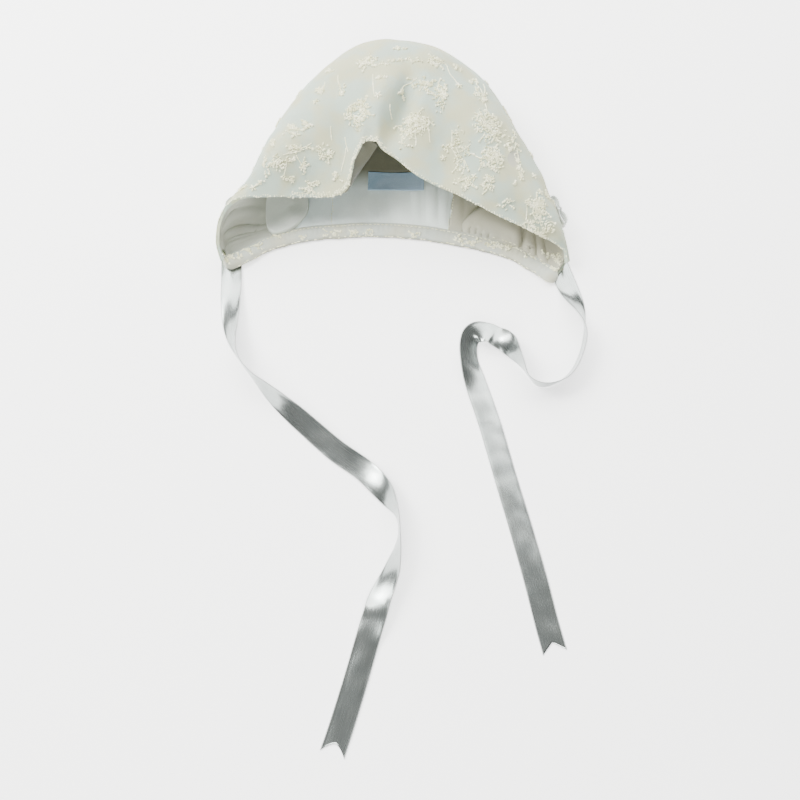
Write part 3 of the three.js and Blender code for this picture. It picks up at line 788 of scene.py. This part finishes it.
# Its lower edge, in steps of half a row. Columns: x, y, z.
FACING_EDGE = [
    (-0.0330, -0.0370, 0.030), (-0.0270, -0.0280, 0.031), (-0.0205, -0.0195, 0.035),
    (-0.0150, -0.0150, 0.041), (-0.0095, -0.0110, 0.048),
]
facing_rows = np.linspace(*FACING_ROWS, FACING_STEPS)
facing_seam = hem_line - crown_out[:, -1] * FACING_INSET
facing_high = np.stack([np.interp(facing_rows, crown_rows, axis) for axis in facing_seam.T], -1)
facing_low = through_rows(FACING_EDGE, np.linspace(0, len(FACING_EDGE) - 1, FACING_STEPS))
facing_share = np.linspace(0, 1, 15)[None, :, None]
facing_face = facing_high[:, None] + (facing_low - facing_high)[:, None] * facing_share
facing_face[..., 0] += FACING_BULGE * np.sin(np.pi * facing_share[..., 0])
facing_back = facing_face - outward_of(facing_face) * FACING_CLOTH
# Painted shade: the facing's cotton is far darker than the crown's, for the shade inside the notch.
facing_painted_shade = cotton_material("facing_painted_shade", (0.10, 0.105, 0.078), (0.115, 0.115, 0.08), 42.0, 0.25)
facing = add_shell("hem_facing", facing_face, facing_back, cloth_uv(facing_face), facing_painted_shade)
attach(facing, "root")


# The lining is a plain white cotton, sewn to the crown along the front hem and gathered into the nape band.
# Its panel seams, the gathers above the band and slack folds to both sides show through the open front.
# Deep inside, the white is painted darker and warmer, as painted shade and warm bounce light under the
# crown.
LINING_PAINTED_SHADE = (0.19, 0.19, 0.13)
# Painted shade: both cottons turn to the dark colour further into the hollow, along y.
lining_cotton = cotton_material(
    "lining_cotton", (0.47, 0.49, 0.42), (0.49, 0.48, 0.37), 14.0, 0.2, (LINING_PAINTED_SHADE, "Y", -0.026, 0.008))
# Painted light: a much lighter copy of the lining cotton, for the lit middle of the lining.
panel_painted_light = cotton_material(
    "panel_painted_light", (0.81, 0.91, 0.89), (0.83, 0.91, 0.86), 14.0, 0.2, (LINING_PAINTED_SHADE, "Y", -0.014, 0.004))

# Slack folds, raised inside outlines on the table plan. Columns: lift, width of rolled edge, outline.
LINING_FOLDS = [
    (0.0085, 0.0042, [
        (0.0530, -0.056), (0.0533, -0.0450), (0.0570, -0.0405), (0.0640, -0.0345), (0.0740, -0.026),
        (0.0950, -0.015), (0.0938, -0.050), (0.0910, -0.074), (0.0790, -0.066), (0.0665, -0.060)]),
    (0.0040, 0.0030, [
        (0.0965, -0.076), (0.0970, -0.052), (0.0990, -0.030), (0.1040, -0.036), (0.1035, -0.054),
        (0.1030, -0.078)]),
]
# Soft ridges and small dents that run up from the band. Columns: from x, y, to x, y, half width, lift.
LINING_RIDGES = [
    (0.006, -0.050, 0.004, -0.012, 0.0090, 0.0018), (0.0185, -0.050, 0.0175, -0.012, 0.0040, 0.0010),
    (0.0295, -0.050, 0.0300, -0.010, 0.0046, 0.0019), (0.0375, -0.052, 0.0395, -0.010, 0.0036, 0.0015),
    (-0.018, -0.050, -0.016, -0.012, 0.0080, 0.0012), (-0.034, -0.050, -0.033, -0.012, 0.0070, 0.0010),
    (0.047, -0.056, 0.0500, -0.012, 0.0055, 0.0015), (-0.054, -0.050, -0.052, -0.012, 0.0060, 0.0012),
    (0.1095, -0.080, 0.1070, -0.050, 0.0032, 0.0022), (0.0580, -0.0560, 0.0575, -0.0490, 0.0017, -0.0060),
    (0.0626, -0.0570, 0.0622, -0.0505, 0.0019, -0.0050),
    (0.0664, -0.0590, 0.0662, -0.0525, 0.0015, -0.0052),
    (0.0718, -0.0600, 0.0714, -0.0545, 0.0021, -0.0046),
    (0.0765, -0.0620, 0.0768, -0.0575, 0.0017, -0.0040),
    (0.1000, -0.0720, 0.1003, -0.0660, 0.0018, -0.0040),
]
# Seams between the panels of the lining. Columns: from x, y, to x, y.
LINING_SEAMS = [(-0.0453, -0.018, -0.0438, -0.0465), (0.0456, -0.020, 0.0415, -0.0500)]
# Left edge of the painted light on the middle of the lining.
PAINTED_LIGHT_LEFT = -0.085
SEAM_HALF = 0.0012
SEAM_DEPTH = 0.0010
SEAM_STITCHES = 12
SEAM_HEIGHT = 0.005
# Length, width and rise of a stitch.
SEAM_STITCH = (0.0017, 0.0006, 0.0004)
LINING_DENT = 0.0007
LINING_GATHERS = 46
PUCKER = 0.0007
PUCKER_START = 0.001
PUCKER_LENGTH = 0.010
RISE_START = 0.0005
RISE_LENGTH = 0.004
NAPE_TURNING = 0.002
FOLD_HELD = 0.014
WALL_CREASE = 0.0017
WALL_WAVE = 0.0013
LOWEST_DIP = 0.0006
LINING_ROWS = np.linspace(0.2, LAST_ROW - 0.2, 331)
LINING_ALONG = np.concatenate([
    np.linspace(-0.04, 1, 73)[:-1], np.linspace(1, 2, 19)[:-1], np.linspace(2, 3, 15)[:-1],
    np.linspace(3, 3.87, 14),
])


def distance_to_line(x, y, ax, ay, bx, by):
    share = ((x - ax) * (bx - ax) + (y - ay) * (by - ay)) / ((bx - ax) ** 2 + (by - ay) ** 2)
    share = np.clip(share, 0, 1)
    return np.hypot(x - ax - share * (bx - ax), y - ay - share * (by - ay))


def depth_inside(x, y, outline):
    """How far points lie inside an outline, below nought outside it."""
    nearest = np.full(x.shape, 1.0)
    inside = np.zeros(x.shape, bool)
    for (ax, ay), (bx, by) in zip(outline, outline[1:] + outline[:1]):
        nearest = np.minimum(nearest, distance_to_line(x, y, ax, ay, bx, by))
        crossing = (ay > y) != (by > y)
        inside ^= crossing & (x < ax + (y - ay) * (bx - ax) / (by - ay + 1e-12))
    return np.where(inside, nearest, -nearest)


lining_face = pouch(LINING_ROWS, LINING_ALONG)
plan_x, plan_y = lining_face[..., 0], lining_face[..., 1]
from_nape = cloth_uv(lining_face)[0, :, 1] - NAPE_TURNING
held_down = (0.35 + 0.65 * smooth(from_nape / FOLD_HELD))[None, :]
raise_by = LINING_DENT * (0.5 + soft_noise(lining_face, 60, 4))
for height, roll, outline in LINING_FOLDS:
    depth = np.clip(depth_inside(plan_x, plan_y, outline) / roll, 0, 1)
    raise_by = np.maximum(raise_by, height * held_down * np.sqrt(1 - (1 - depth) ** 2))
for *line, half_width, height in LINING_RIDGES:
    raise_by += height * held_down * hump(distance_to_line(plan_x, plan_y, *line) / half_width)
for seam in LINING_SEAMS:
    raise_by -= SEAM_DEPTH * hump(distance_to_line(plan_x, plan_y, *seam) / SEAM_HALF)
pucker = np.sin(2 * np.pi * LINING_GATHERS * LINING_ROWS / LAST_ROW + 3 * np.sin(LINING_ROWS * 2.3))
pucker *= 0.6 + 0.4 * np.sin(LINING_ROWS * 5.1)
pucker_share = 0.15 + 0.85 * smooth((LINING_ROWS - 10.5) / 1.5)
near_band = (1 - smooth((from_nape - PUCKER_START) / PUCKER_LENGTH))[None, :]
raise_by += PUCKER * (pucker * pucker_share)[:, None] * near_band
raise_by *= smooth((from_nape - RISE_START) / RISE_LENGTH)[None, :]
lower = (1 - smooth((LINING_ALONG - 0.9) / 0.5))[None, :]
lining_face[..., 2] += np.maximum(raise_by, -LOWEST_DIP) * lower
# The inner wall on the left is creased across by the slack of the cloth.
wall_share = hump((LINING_ALONG - 1.7) / 1.3)[None, :] * hump((LINING_ROWS - 2.0) / 2.0)[:, None]
slant = LINING_ROWS[:, None] + 2 * LINING_ALONG[None, :]
wave = np.sin(slant * 4.6) + 0.5 * np.sin(slant * 8.3 + LINING_ROWS[:, None])
lining_out = outward_of(lining_face)
lining_face = lining_face - lining_out * (wall_share * (WALL_CREASE + WALL_WAVE * wave))[..., None]
lining_out = outward_of(lining_face)
lining_inner = lining_face - lining_out * LINING_TOP
lining = add_shell(
    "bonnet_lining", lining_face - lining_out * (CROWN_CLOTH + LAYER_GAP), lining_inner,
    cloth_uv(lining_face), lining_cotton,
)
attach(lining, "root")
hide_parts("lining")
# The middle of the lining, from under the pleat to the seam on the right, takes a lighter cotton as painted
# light.
lining.data.materials.append(panel_painted_light)
from_x, from_y, to_x, to_y = LINING_SEAMS[1]
for face in lining.data.polygons:
    seam_x = from_x + (face.center.y - from_y) * (to_x - from_x) / (to_y - from_y)
    if PAINTED_LIGHT_LEFT < face.center.x < seam_x:
        face.material_index = 1

lining_stitches = Stitches(lining_inner[:, ::-1])
for ax, ay, bx, by in LINING_SEAMS:
    line = Vector((bx - ax, by - ay, 0))
    for k in range(SEAM_STITCHES):
        spot, out = lining_stitches.lay(Vector((ax, ay, SEAM_HEIGHT)) + line * (k + 0.5) / SEAM_STITCHES)
        lining_stitches.pad(spot, out, line, *SEAM_STITCH)
lining_stitches.piece("lining_seam_stitches", "lining_cotton")


# The pleat is the slack of the lining's left panel, folded flat over itself above the band.
# It is the same white cotton in two layers, held at the back seam, with a rolled lower edge.
PLEAT_EDGE = [
    (-0.0930, -0.030), (-0.0928, -0.040), (-0.0915, -0.048), (-0.0890, -0.0530), (-0.0850, -0.0545),
    (-0.0795, -0.0533), (-0.0735, -0.0503), (-0.0678, -0.0455), (-0.0637, -0.0395), (-0.0617, -0.0330),
    (-0.0620, -0.0260),
]
PLEAT_BACK = ((-0.0905, -0.002), (-0.0640, -0.002))
PLEAT_LEVEL = 0.0054
# Painted light: the pleat's cotton is a lighter copy of the lining's.
pleat_painted_light = cotton_material("pleat_painted_light", (0.70, 0.75, 0.68), (0.72, 0.74, 0.64), 14.0, 0.2)
PLEAT_CLOTH = 0.0010
PLEAT_ROLL = 0.0016
PLEAT_CLEAR = 0.0002
PLEAT_EASE = 0.003
PLEAT_WAVE = 0.0005
UNDER_FRONT_EDGE = 0.028
pleat_at = np.linspace(0, len(PLEAT_EDGE) - 1, 71)
pleat_low = through_rows(PLEAT_EDGE, pleat_at)
pleat_back = np.array(PLEAT_BACK)
pleat_high = pleat_back[0] + (pleat_back[1] - pleat_back[0]) * (pleat_at / pleat_at[-1])[:, None]
pleat_up = np.linspace(0, 1, 41) ** 1.6
pleat_plan = pleat_low[:, None] + (pleat_high - pleat_low)[:, None] * pleat_up[None, :, None]
pleat_inside = np.linalg.norm(pleat_plan - pleat_low[:, None], axis=2)
pleat_face = np.empty(pleat_plan.shape[:2] + (3,))
for i, k in np.ndindex(*pleat_plan.shape[:2]):
    x, y = pleat_plan[i, k]
    under = lining_stitches.tree.ray_cast(Vector((x, y, UNDER_FRONT_EDGE)), Vector((0, 0, -1)))[0]
    rest = (under.z if under else LINING_TOP) + PLEAT_CLOTH
    gap = PLEAT_LEVEL + PLEAT_WAVE * math.sin(x * 210 + y * 60) - rest
    level = rest + PLEAT_CLEAR + (gap + math.sqrt(gap**2 + PLEAT_EASE**2)) / 2
    turn = 1 - min(1, pleat_inside[i, k] / PLEAT_ROLL)
    pleat_face[i, k] = (x, y, rest + (level - rest) * math.sqrt(1 - turn**2))
pleat_face = pleat_face[::-1]
pleat_under = pleat_face - np.array([0, 0, PLEAT_CLOTH])
pleat = add_shell("lining_pleat", pleat_face, pleat_under, cloth_uv(pleat_face), pleat_painted_light)
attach(pleat, "root")


# The nape band is a soft binding of the crown's cotton, folded over a thin filling along the gathered nape.
# A row of stitches holds its upper edge over the lining, and embroidery shows on its cotton in places.
BAND_WIDTH = 0.0112
BAND_INNER = 0.0012
BAND_HEIGHT = 0.005
BAND_PAST_END = 0.005
BAND_END_GAP = 0.0004
BAND_END_STEPS = 9
BAND_TAPER = 0.006
CORNER_SWELL = 0.9
CORNER_LENGTH = 0.016
EDGE_WANDER = 0.0005
EDGE_WAVER = 0.0003
BAND_LANE = 0.0012
# Columns: place across the band from its inner to its outer edge, height as a share of the band's.
BAND_PROFILE = [
    (-0.90, 0.0), (-1.0, 0.35), (-1.0, 0.62), (-0.93, 0.72), (-0.82, 0.77), (-0.72, 0.70), (-0.62, 0.80),
    (-0.40, 0.93), (-0.15, 1.0), (0.15, 1.0), (0.40, 0.95), (0.62, 0.85), (0.80, 0.68), (0.93, 0.44),
    (1.0, 0.20), (0.92, 0.0),
]
BAND_SIDES = len(BAND_PROFILE)
# Painted shade: the band's cotton darkens towards the table, below 3 mm.
BAND_PAINTED_SHADE = (0.16, 0.16, 0.11)
band_cotton = cotton_material(
    "band_cotton", (0.50, 0.54, 0.48), (0.53, 0.53, 0.41), 30.0, 0.3, (BAND_PAINTED_SHADE, "Z", 0.0030, 0.0004))


def nape_line(rows):
    """The middle of the band and the direction away from the cloth, at each row."""
    spots = pouch(rows, np.array([0.0]))[:, 0]
    plan = spots * np.array([1, 1, 0])
    onward = unit(np.gradient(plan, axis=0))
    out = np.stack([onward[:, 1], -onward[:, 0], np.zeros(len(rows))], -1)
    middle = plan + out * (BAND_WIDTH / 2 - BAND_INNER)
    middle[:, 2] = end_lift(rows)
    return middle, out


band_rows = np.linspace(0, LAST_ROW, 401)
band_middle, band_away = nape_line(band_rows)
# Both ends run on a little, and the left one swells, to fill the corners under the crown's edge.
on_start = unit(band_middle[0] - band_middle[1])
on_end = unit(band_middle[-1] - band_middle[-2])
ends_past = np.linspace(BAND_PAST_END, BAND_END_GAP, BAND_END_STEPS)[:, None]
band_middle = np.concatenate([
    band_middle[0] + on_start * ends_past, band_middle, band_middle[-1] + on_end * ends_past[::-1] * 0.4])
band_away = np.pad(band_away, ((BAND_END_STEPS, BAND_END_STEPS), (0, 0)), mode="edge")
band_run = run_along(band_middle)
band_grid = np.empty((len(band_run), BAND_SIDES, 3))
band_uv = np.empty((len(band_run), BAND_SIDES, 2))
for i, run in enumerate(band_run):
    to_end = min(run, band_run[-1] - run)
    taper = math.sqrt(1 - (1 - min(1, to_end / BAND_TAPER)) ** 2 * 0.85)
    corner = CORNER_SWELL * max(0, 1 - run / CORNER_LENGTH) ** 2
    swell = 1 + 0.06 * noise.noise((run * 55, 0, 0)) + 0.04 * noise.noise((run * 160, 4, 0))
    wander = EDGE_WANDER * noise.noise((run * 120, 9, 0)) + EDGE_WAVER * noise.noise((run * 420, 2, 0))
    gather = 0.07 * (0.5 + 0.5 * math.sin(run * 1300 + 2 * math.sin(run * 260)))
    for k, (across, height) in enumerate(BAND_PROFILE):
        outer = max(0, across)
        reach = across * BAND_WIDTH / 2 * taper * swell + wander * outer
        rise = height * BAND_HEIGHT * taper * swell * (1 + corner) * (1 - gather * (1 - abs(across)))
        band_grid[i, k] = band_middle[i] + band_away[i] * reach + np.array([0, 0, rise])
        band_uv[i, k] = (run, k * BAND_LANE)
band_faces = []
for i in range(len(band_run) - 1):
    for k in range(BAND_SIDES):
        a, b = i * BAND_SIDES + k, i * BAND_SIDES + (k + 1) % BAND_SIDES
        band_faces.append((a, b, b + BAND_SIDES, a + BAND_SIDES))
band_faces.append(tuple(range(BAND_SIDES - 1, -1, -1)))
band_last = (len(band_run) - 1) * BAND_SIDES
band_faces.append(tuple(range(band_last, band_last + BAND_SIDES)))
band = add_mesh("nape_binding", band_grid.reshape(-1, 3), band_faces, band_uv.reshape(-1, 2), band_cotton)
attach(band, "root")
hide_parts("nape_band")

# Length, width and rise of a stitch.
BAND_STITCH = (0.0020, 0.0006, 0.0005)
BAND_STITCH_STEP = 0.0030
BAND_STITCH_INSET = 0.0041
BAND_STITCH_MARGIN = 0.006
ABOVE_BAND = Vector((0, 0, 0.006))
EDGE_STITCH_STEP = 0.0022
EDGE_STITCH_MARGIN = 0.004
EDGE_STITCH_HEIGHT = (0.001, 0.003)
EDGE_STITCH_WIDTH = 0.0010
EDGE_STITCH_RISE = 0.0005
# Embroidery on the band and the corners, as it shows in the picture. Columns as for the crown's sprigs.
BAND_SPRIGS = [
    (229, 259, 7, 6, 0.9, 30), (238, 257, 6, 4, 0.7, 30), (247, 251, 7, 4, 0.7, 60),
    (258, 247, 6, 4, 0.6, 60), (279, 236, 6, 3, 0.5, 75), (300, 236, 7, 3, 0.4, 80),
    (332, 233, 10, 4, 0.6, 85), (352, 232, 9, 4, 0.5, 85), (369, 231, 6, 4, 0.5, 85),
    (415, 234, 6, 4, 0.7, 60), (457, 239, 9, 4, 0.8, 80), (474, 242, 10, 4, 0.9, 75),
    (492, 245, 10, 4, 0.9, 70), (509, 247, 7, 4, 0.6, 60), (530, 256, 6, 4, 0.5, 50),
    (546, 255, 6, 5, 0.6, 30), (557, 258, 6, 7, 0.9, 20), (552, 268, 6, 6, 0.7, 40),
    (560, 269, 4, 6, 0.8, 0), (541, 262, 5, 4, 0.5, 40),
]
band_stitches = Stitches(band_grid, crown_face, lining_inner[:, ::-1])


def band_steps(margin, step):
    """Places along the band: its middle there, the way out to its edge and the way on."""
    for run in np.arange(margin, band_run[-1] - margin, step):
        i = int(np.searchsorted(band_run, run))
        ahead = Vector(band_middle[min(i + 1, len(band_run) - 1)] - band_middle[i - 1])
        yield band_middle[i], band_away[i], ahead


for middle, away, ahead in band_steps(BAND_STITCH_MARGIN, BAND_STITCH_STEP):
    spot, out = band_stitches.lay(Vector(middle - away * BAND_STITCH_INSET) + ABOVE_BAND)
    band_stitches.pad(spot, out, ahead, *BAND_STITCH)
for sprig in BAND_SPRIGS:
    band_stitches.patch(*sprig)
# Small stitches along the lower edge leave it slightly scalloped.
for middle, away, ahead in band_steps(EDGE_STITCH_MARGIN, EDGE_STITCH_STEP):
    height = stitch_random.uniform(*EDGE_STITCH_HEIGHT)
    low = middle + away * (BAND_WIDTH / 2) + np.array([0, 0, height])
    spot, out = band_stitches.lay(Vector(low))
    if stitch_random.random() < 0.6:
        length = stitch_random.uniform(*STITCH_LENGTH)
        band_stitches.pad(spot, out, ahead, length, EDGE_STITCH_WIDTH, EDGE_STITCH_RISE)
band_stitches.piece("band_stitches", "band_cotton")


# The label is a blank tab of pale blue woven tape, sewn along its back edge to the lining inside the nape.
# Its front edge is loose and lifts a little.
LABEL_WIDTH = 0.042
LABEL_LENGTH = 0.018
LABEL_AT = (0.0030, -0.0170)
LABEL_CLOTH = 0.0006
LABEL_CLEAR = 0.0006
LABEL_CURL = 0.0030
LABEL_BOW = 0.0005
label_tape = cotton_material("label_tape", (0.37, 0.54, 0.70), (0.47, 0.62, 0.78), 40.0, 0.5)
label_across = np.linspace(-0.5, 0.5, 57)[:, None]
label_share = np.linspace(0, 1, 25)[None, :]
label_x = LABEL_AT[0] + LABEL_WIDTH * label_across + 0 * label_share
label_y = LABEL_AT[1] + LABEL_LENGTH * (1 - label_share) - LABEL_BOW * np.cos(label_across * 5)
label_wave = 0.8 + 0.2 * np.cos(2 * math.pi * label_across + 0.6)
label_z = LINING_TOP + LABEL_CLEAR + LABEL_CURL * label_wave * label_share**1.6
label_face = np.stack([label_x, label_y, label_z], -1)
label_up = np.array([0, 0, LABEL_CLOTH])
label = add_shell("blank_label", label_face + label_up, label_face, cloth_uv(label_face), label_tape)
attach(label, "root")
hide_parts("label")


# The bows are small ones of narrow satin ribbon, one sewn to each side wall above the corner.
# Each has two loops, two short tails and a knot wrapped round the middle.
BOW_RIBBON = 0.007
BOW_LOOP = 0.012
BOW_HEIGHT = 0.006
BOW_DROOP = 0.0016
BOW_STAND = 0.001
BOW_ALONG = 1.95
LOOP_FLARE = 0.006
BOW_TAIL = 0.012
TAIL_STAND = 0.0012
TAIL_WAVE = 0.0014
TAIL_SPREAD = 0.45
BOW_CLOTH = 0.0005
BOW_KNOT = 0.004
# The knot is narrowest in the middle. Each value is a share of its width, from its lower end to its upper.
KNOT_WAIST = (1, 0.94, 0.85, 0.94, 1)
KNOT_SIDES = 16
bow_satin = satin_material("bow_satin", 0.3, (0.60, 0.64, 0.61), (0.68, 0.71, 0.67))


def bow_strip(middles, sides, half_widths, faces_up):
    """Rings of four points for a flat strip of ribbon, and its faces."""
    rings = []
    for middle, side, half_width, face in zip(middles, sides, half_widths, faces_up):
        for lane, level in ((1, 1), (-1, 1), (-1, -1), (1, -1)):
            rings.append(middle + side * half_width * lane + face * BOW_CLOTH / 2 * level)
    count = len(middles)
    faces = [(0, 1, 2, 3), tuple(4 * (count - 1) + k for k in (3, 2, 1, 0))]
    for i in range(count - 1):
        for k in range(4):
            a, b = 4 * i + k, 4 * i + (k + 1) % 4
            faces.append((a, a + 4, b + 4, b))
    return rings, faces


def add_bow(name, node_name, row):
    """A bow on the side wall at a row of the pouch's sections."""
    near = np.array([-0.02, 0, 0.02])
    spots = pouch(row + near, BOW_ALONG + near)
    normal = outward_of(spots)[1, 1]
    along = unit(np.cross((0, 0, 1.0), normal))
    up = np.cross(normal, along)
    base = spots[1, 1] + normal * BOW_STAND
    points, faces = [], []

    def add(part):
        start = len(points)
        points.extend(part[0])
        faces.extend(tuple(start + k for k in f) for f in part[1])

    for side in (-1, 1):
        turn = np.linspace(0, 2 * math.pi, 33)
        out = side * (1 - np.cos(turn)) / 2 * BOW_LOOP
        lift = BOW_HEIGHT / 2 * (1 + np.sin(turn) * (0.35 + 0.65 * (1 - np.cos(turn)) / 2))
        droop = -BOW_DROOP * (1 - np.cos(turn)) / 2
        middles = [base + along * a + normal * b + up * c for a, b, c in zip(out, lift, droop)]
        steps = np.gradient(np.array(middles), axis=0)
        upright = unit(np.cross(steps, up))
        widths = BOW_RIBBON / 2 * (0.45 + 0.55 * smooth(np.abs(out) / LOOP_FLARE))
        add(bow_strip(middles, [up] * len(turn), widths, upright))
        reach = np.linspace(0, 1, 12)
        lean = unit(along * side * TAIL_SPREAD - up)
        aside = np.cross(normal, lean)
        stand = TAIL_STAND + TAIL_WAVE * np.sin(3 * reach)
        tail = [base + lean * BOW_TAIL * t + normal * s for t, s in zip(reach, stand)]
        widths = BOW_RIBBON / 2 * (0.5 + 0.5 * smooth(reach * 3))
        add(bow_strip(tail, [aside] * len(tail), widths, [normal] * len(tail)))
    first = len(points)
    levels = len(KNOT_WAIST)
    for level, waist in enumerate(KNOT_WAIST):
        width = BOW_KNOT / 2 * waist
        middle = base + up * BOW_RIBBON * 0.6 * (level / (levels - 1) - 0.5) + normal * BOW_HEIGHT / 2
        for t in np.linspace(0, 2 * math.pi, KNOT_SIDES + 1)[:-1]:
            points.append(middle + along * width * math.cos(t) + normal * width * math.sin(t))
    for level in range(levels - 1):
        for k in range(KNOT_SIDES):
            a = first + level * KNOT_SIDES + k
            b = first + level * KNOT_SIDES + (k + 1) % KNOT_SIDES
            faces.append((a, a + KNOT_SIDES, b + KNOT_SIDES, b))
    faces.append(tuple(range(first, first + KNOT_SIDES)))
    faces.append(tuple(range(len(points) - 1, len(points) - 1 - KNOT_SIDES, -1)))
    uv = [(float(np.dot(p - base, along)), float(np.dot(p - base, up))) for p in points]
    bow = add_mesh(name, points, faces, uv, bow_satin)
    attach(bow, "root")
    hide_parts(node_name)


add_bow("left_bow", "bow_left", 2.85)
add_bow("right_bow", "bow_right", 14.2)


# The table is a plain pale surface. One large soft box behind and above the bonnet lights it, with softer
# windows from the left, the top and the front. The box ends above the bonnet, so that the far stretches of
# the ribbons shine and their ends fall grey.
FLOOR_SIZE = 6.0
FLOOR_DROP = 0.0002
floor_finish = {"Specular IOR Level": 0.1, "Emission Color": (1, 1, 1, 1), "Emission Strength": 1.5}
floor_material, floor_node, floor_join = new_material("pale_table", (0.95, 0.95, 0.95), 0.9, floor_finish)
floor_tone = floor_node("TexNoise", "Fac", {"Scale": 6.0, "Detail": 2.0})
floor_join("Base Color", two_tones(floor_node, floor_tone, (0.0, (0.93,) * 3), (1.0, (0.96,) * 3)))
floor_corners = [(-1, -1), (1, -1), (1, 1), (-1, 1)]
floor = add_mesh(
    "table", [(x * FLOOR_SIZE, y * FLOOR_SIZE, -FLOOR_DROP) for x, y in floor_corners],
    [(0, 1, 2, 3)], [(0, 0), (1, 0), (1, 1), (0, 1)], floor_material,
)


def add_light(name, at, aim, size, power, color):
    data = bpy.data.lights.new(name, "AREA")
    data.shape = "RECTANGLE"
    data.size, data.size_y = size
    data.energy = power
    data.color = color
    light = bpy.data.objects.new(name, data)
    light.location = at
    light.rotation_euler = (Vector(aim) - Vector(at)).to_track_quat("-Z", "Y").to_euler()
    bpy.context.scene.collection.objects.link(light)


WINDOW_AIM = (0.0, -0.03, 0.0)
BOX_LIGHT = (1.0, 1.0, 0.985)
WINDOW_LIGHT = (1.0, 1.0, 0.98)
# Columns: name, place, point it faces, width and length, power, colour.
LIGHTS = [
    ("soft_box", (-0.3, 1.5, 1.2), (-0.3, 1.5, 0.0), (3.2, 2.6), 185.0, BOX_LIGHT),
    ("soft_box_edge", (-0.3, 0.05, 1.2), (-0.3, 0.05, 0.0), (3.2, 0.3), 0.9, BOX_LIGHT),
    ("left_window", (-1.05, 0.2, 1.0), WINDOW_AIM, (0.7, 0.7), 20.0, WINDOW_LIGHT),
    ("top_window", (-0.8, 0.15, 1.2), WINDOW_AIM, (0.5, 0.5), 15.0, WINDOW_LIGHT),
    ("front_window", (-0.1, -1.1, 0.75), WINDOW_AIM, (0.5, 0.4), 12.0, WINDOW_LIGHT),
]
for light in LIGHTS:
    add_light(*light)
world = bpy.data.worlds.new("room")
world.use_nodes = True
world.node_tree.nodes["Background"].inputs["Color"].default_value = (1.0, 1.0, 0.96, 1)
world.node_tree.nodes["Background"].inputs["Strength"].default_value = 0.16
bpy.context.scene.world = world
